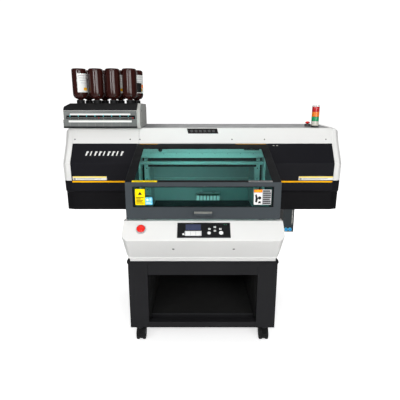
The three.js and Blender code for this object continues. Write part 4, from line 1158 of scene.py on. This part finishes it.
SHOULDER = ((0.58, 1.3995), (0.80, 1.4050), (0.93, 1.4140), (0.985, 1.4230), (1.0, 1.4340))
ONE_BOTTLE = [(0, FOOT_Z), (NECK_RADIUS - 0.001, FOOT_Z), (NECK_RADIUS, FOOT_Z + 0.001), (NECK_RADIUS, 1.384),
              *arc((NECK_RADIUS + 0.006, 1.392), 0.006, 180, 115, 4),
              *((RADIUS * share, z) for share, z in SHOULDER),
              (RADIUS, 1.470), (RADIUS, 1.553), *arc((RADIUS - 0.008, 1.564), 0.008, 0, 90, 6),
              (RADIUS * 0.70, BOTTLE_BASE), (RADIUS * 0.62, BOTTLE_BASE - 0.0022), (0, BOTTLE_BASE - 0.0030)]
SOCKET_RING = [(0.0152, 1.3884), (0.0235, 1.3884), (0.0242, 1.3890), (0.0242, 1.3905), (0.0215, 1.3925),
               (0.0152, 1.3925)]
FACINGS = (55, 150, 170, 200, 180, 175, 8, 38)  # where each label's middle faces
places = [(first_x + BOTTLE_PITCH * k, y) for first_x, y in ROWS for k in range(4)]
for number, ((x, y), middle) in enumerate(zip(places, FACINGS), 1):
    node = f"ink_bottle_{number}"
    glass = turnings(f"{node}_body", SLOT_OF[node], "bottle", ONE_BOTTLE, [(x, y, 0)], segments=64,
                     body=BODY_OF[node])
    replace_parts(glass, node)
    turnings(f"bottle_socket_ring_{number}", TRAY_SLOT, "bottle_cap", SOCKET_RING, [(x, y, 0)], segments=40)
    wrapped("label", node, (x, y), 0, middle - 57, middle + 57, 1.435, 1.543, "paper")
    wrapped("label_band", node, (x, y), 0.0002, middle - 8, middle + 30, 1.446, 1.463, "yellow")
    for line in range(4):
        z = 1.533 - 0.014 * line
        wrapped(f"label_line_{line + 1}", node, (x, y), 0.0002, middle - 48 + 6 * line,
                middle + 34 - 9 * (line % 2), z - 0.0035, z, "light_grey_plastic")
# The last bottle's label carries a dark and a coloured block as well
wrapped("dark_block", node, (x, y), 0.0004, middle - 44, middle + 20, 1.440, 1.496, "print_dark")
wrapped("orange_block", node, (x, y), 0.0004, middle + 22, middle + 48, 1.466, 1.486, "orange")

# ---------- signal tower ----------
TOWER = [(0.714, 0.030, 1.234)]
TOWER_R, RIM = 0.02275, 0.0012
tower_slot = SLOT_OF["signal_tower"]


def tower_part(name, material, *profile):
    """Turned part of the tower. Its points are (depth below the tower's radius, height); None is the axis."""
    return turnings(f"signal_tower_{name}", tower_slot, material,
                    [(0 if depth is None else TOWER_R - depth, z) for depth, z in profile], TOWER,
                    segments=56)


height = 0.0
for name, tall, material in (("base", 0.031, "ivory"), ("green", 0.027, "lens_green"),
                             ("amber", 0.030, "lens_amber"), ("red", 0.031, "lens_red")):
    low, high = height, height + tall
    section = tower_part(name, material, (None, low), (RIM, low), (0, low + RIM), (0, high - RIM),
                         (RIM, high), (None, high))
    if name == "base":
        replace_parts(section, "signal_tower")
    else:
        tower_part(f"{name}_joint", "bottle_cap", (0.0022, low - 0.0006), (0.0003, low - 0.0006),
                   (0.0003, low + 0.0006), (0.0022, low + 0.0006))
    height = high
dome = [(TOWER_R - r, z) for r, z in arc((TOWER_R - 0.006, height + 0.004), 0.006, 0, 90, 5)[1:]]
tower_part("crown", "white", (None, height), (0, height), (0, height + 0.004), *dome, (None, height + 0.0108))
tower_part("flange", "bottle_cap", (0.002, -0.0012), (-0.005, -0.0012), (-0.005, 0.0022), (-0.0035, 0.0036),
           (0.002, 0.0036))

# ---------- upper stop button ----------
TOP_STOP = (0.685, 0.090)
stop_top = span("top_stop_button")[5]
top_at = Matrix.Translation((*TOP_STOP, stop_top - 0.012))
top_stop = stop_head("top_stop_head", top_at, 0.015, 0.0, 0.012, "top_stop")
turnings("top_stop_stem", "stop_red", "dull_red", [(0.0078, -0.0195), (0.0078, 0.0005)], [(0, 0, 0)],
         segments=28, at=top_at, body="top_stop")
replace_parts(top_stop, "top_stop_button")
collar_top = stop_top - 0.0175
turnings("top_stop_collar", SHELL_SLOT, "black_plastic",
         [(0.0098, collar_top - 0.0005), (0.0192, collar_top - 0.0005), (0.0186, collar_top + 0.0010),
          (0.0165, collar_top + 0.0018), (0.0098, collar_top + 0.0018)], [(*TOP_STOP, 0)], segments=48)

# ---------- waste tank ----------
TANK_SLOT = SLOT_OF["waste_tank"]
refined("waste_tank", "tank", 0.003, 3)
# The blue caps glow faintly from their material: a painted glow
for name, x in (("left", 0.539), ("right", 0.564)):
    cap = Shape()
    cap.prism(knurled((x, 0.588), 0.0112, 0.0005, 36), -0.1005, -0.0900, "y")
    cap.turned([(0.0098, 0.0), (0.0085, 0.0014), (0.0, 0.0016)], (x, -0.1005, 0.588), "y", 36)
    cap.piece(f"waste_tank_cap_{name}", "waste_tank", TANK_SLOT, "blue_cap_painted_glow", 0.0003)
boxes("waste_tank_ribs", TANK_SLOT, "tank",
      [((left, 0.584), (-0.0914, -0.0898), (low, low + 0.004))
       for left, low in ((0.528, 0.625), (0.524, 0.655), (0.524, 0.685))], body="waste_tank", bevel=0.0005)
prisms("waste_tank_level_window", TANK_SLOT, "pale_plastic",
       [rounded(0.007, 0.095, 0.003, 4, (0.577, 0.668))], -0.0912, -0.0896, "y", body="waste_tank")


# ---------- floor ----------
def floor_paint():
    """Pale floor that turns to plain white with distance, so that no horizon shows."""
    made = Shader("studio_floor_paint", (0.90, 0.90, 0.90), 0.8, gloss=0.1)
    made.colour(made.drift((0.90, 0.90, 0.90), 2.0, 0.01))
    away = made.node("ShaderNodeVectorMath", Vector=made.place)
    away.operation = "LENGTH"
    made.put((1, 1, 1, 1), made.bsdf.inputs["Emission Color"])
    lift = made.remap(away.outputs["Value"], 0.5, 1.5, 0.60, 0.95)
    sight = made.tree.nodes.new("ShaderNodeLightPath").outputs["Is Camera Ray"]
    made.put(made.math("MULTIPLY", lift, sight), made.bsdf.inputs["Emission Strength"])
    return made.material


FLOOR_SIZE = 16
floor = Shape()
floor.prism(rounded(FLOOR_SIZE, FLOOR_SIZE, 1.0, 8), -0.01, 0.0, "z")
mesh = bpy.data.meshes.new("studio_floor")
floor.mesh.to_mesh(mesh)
floor.mesh.free()
mesh.materials.append(floor_paint())
ground = bpy.data.objects.new("studio_floor", mesh)
scene.collection.objects.link(ground)
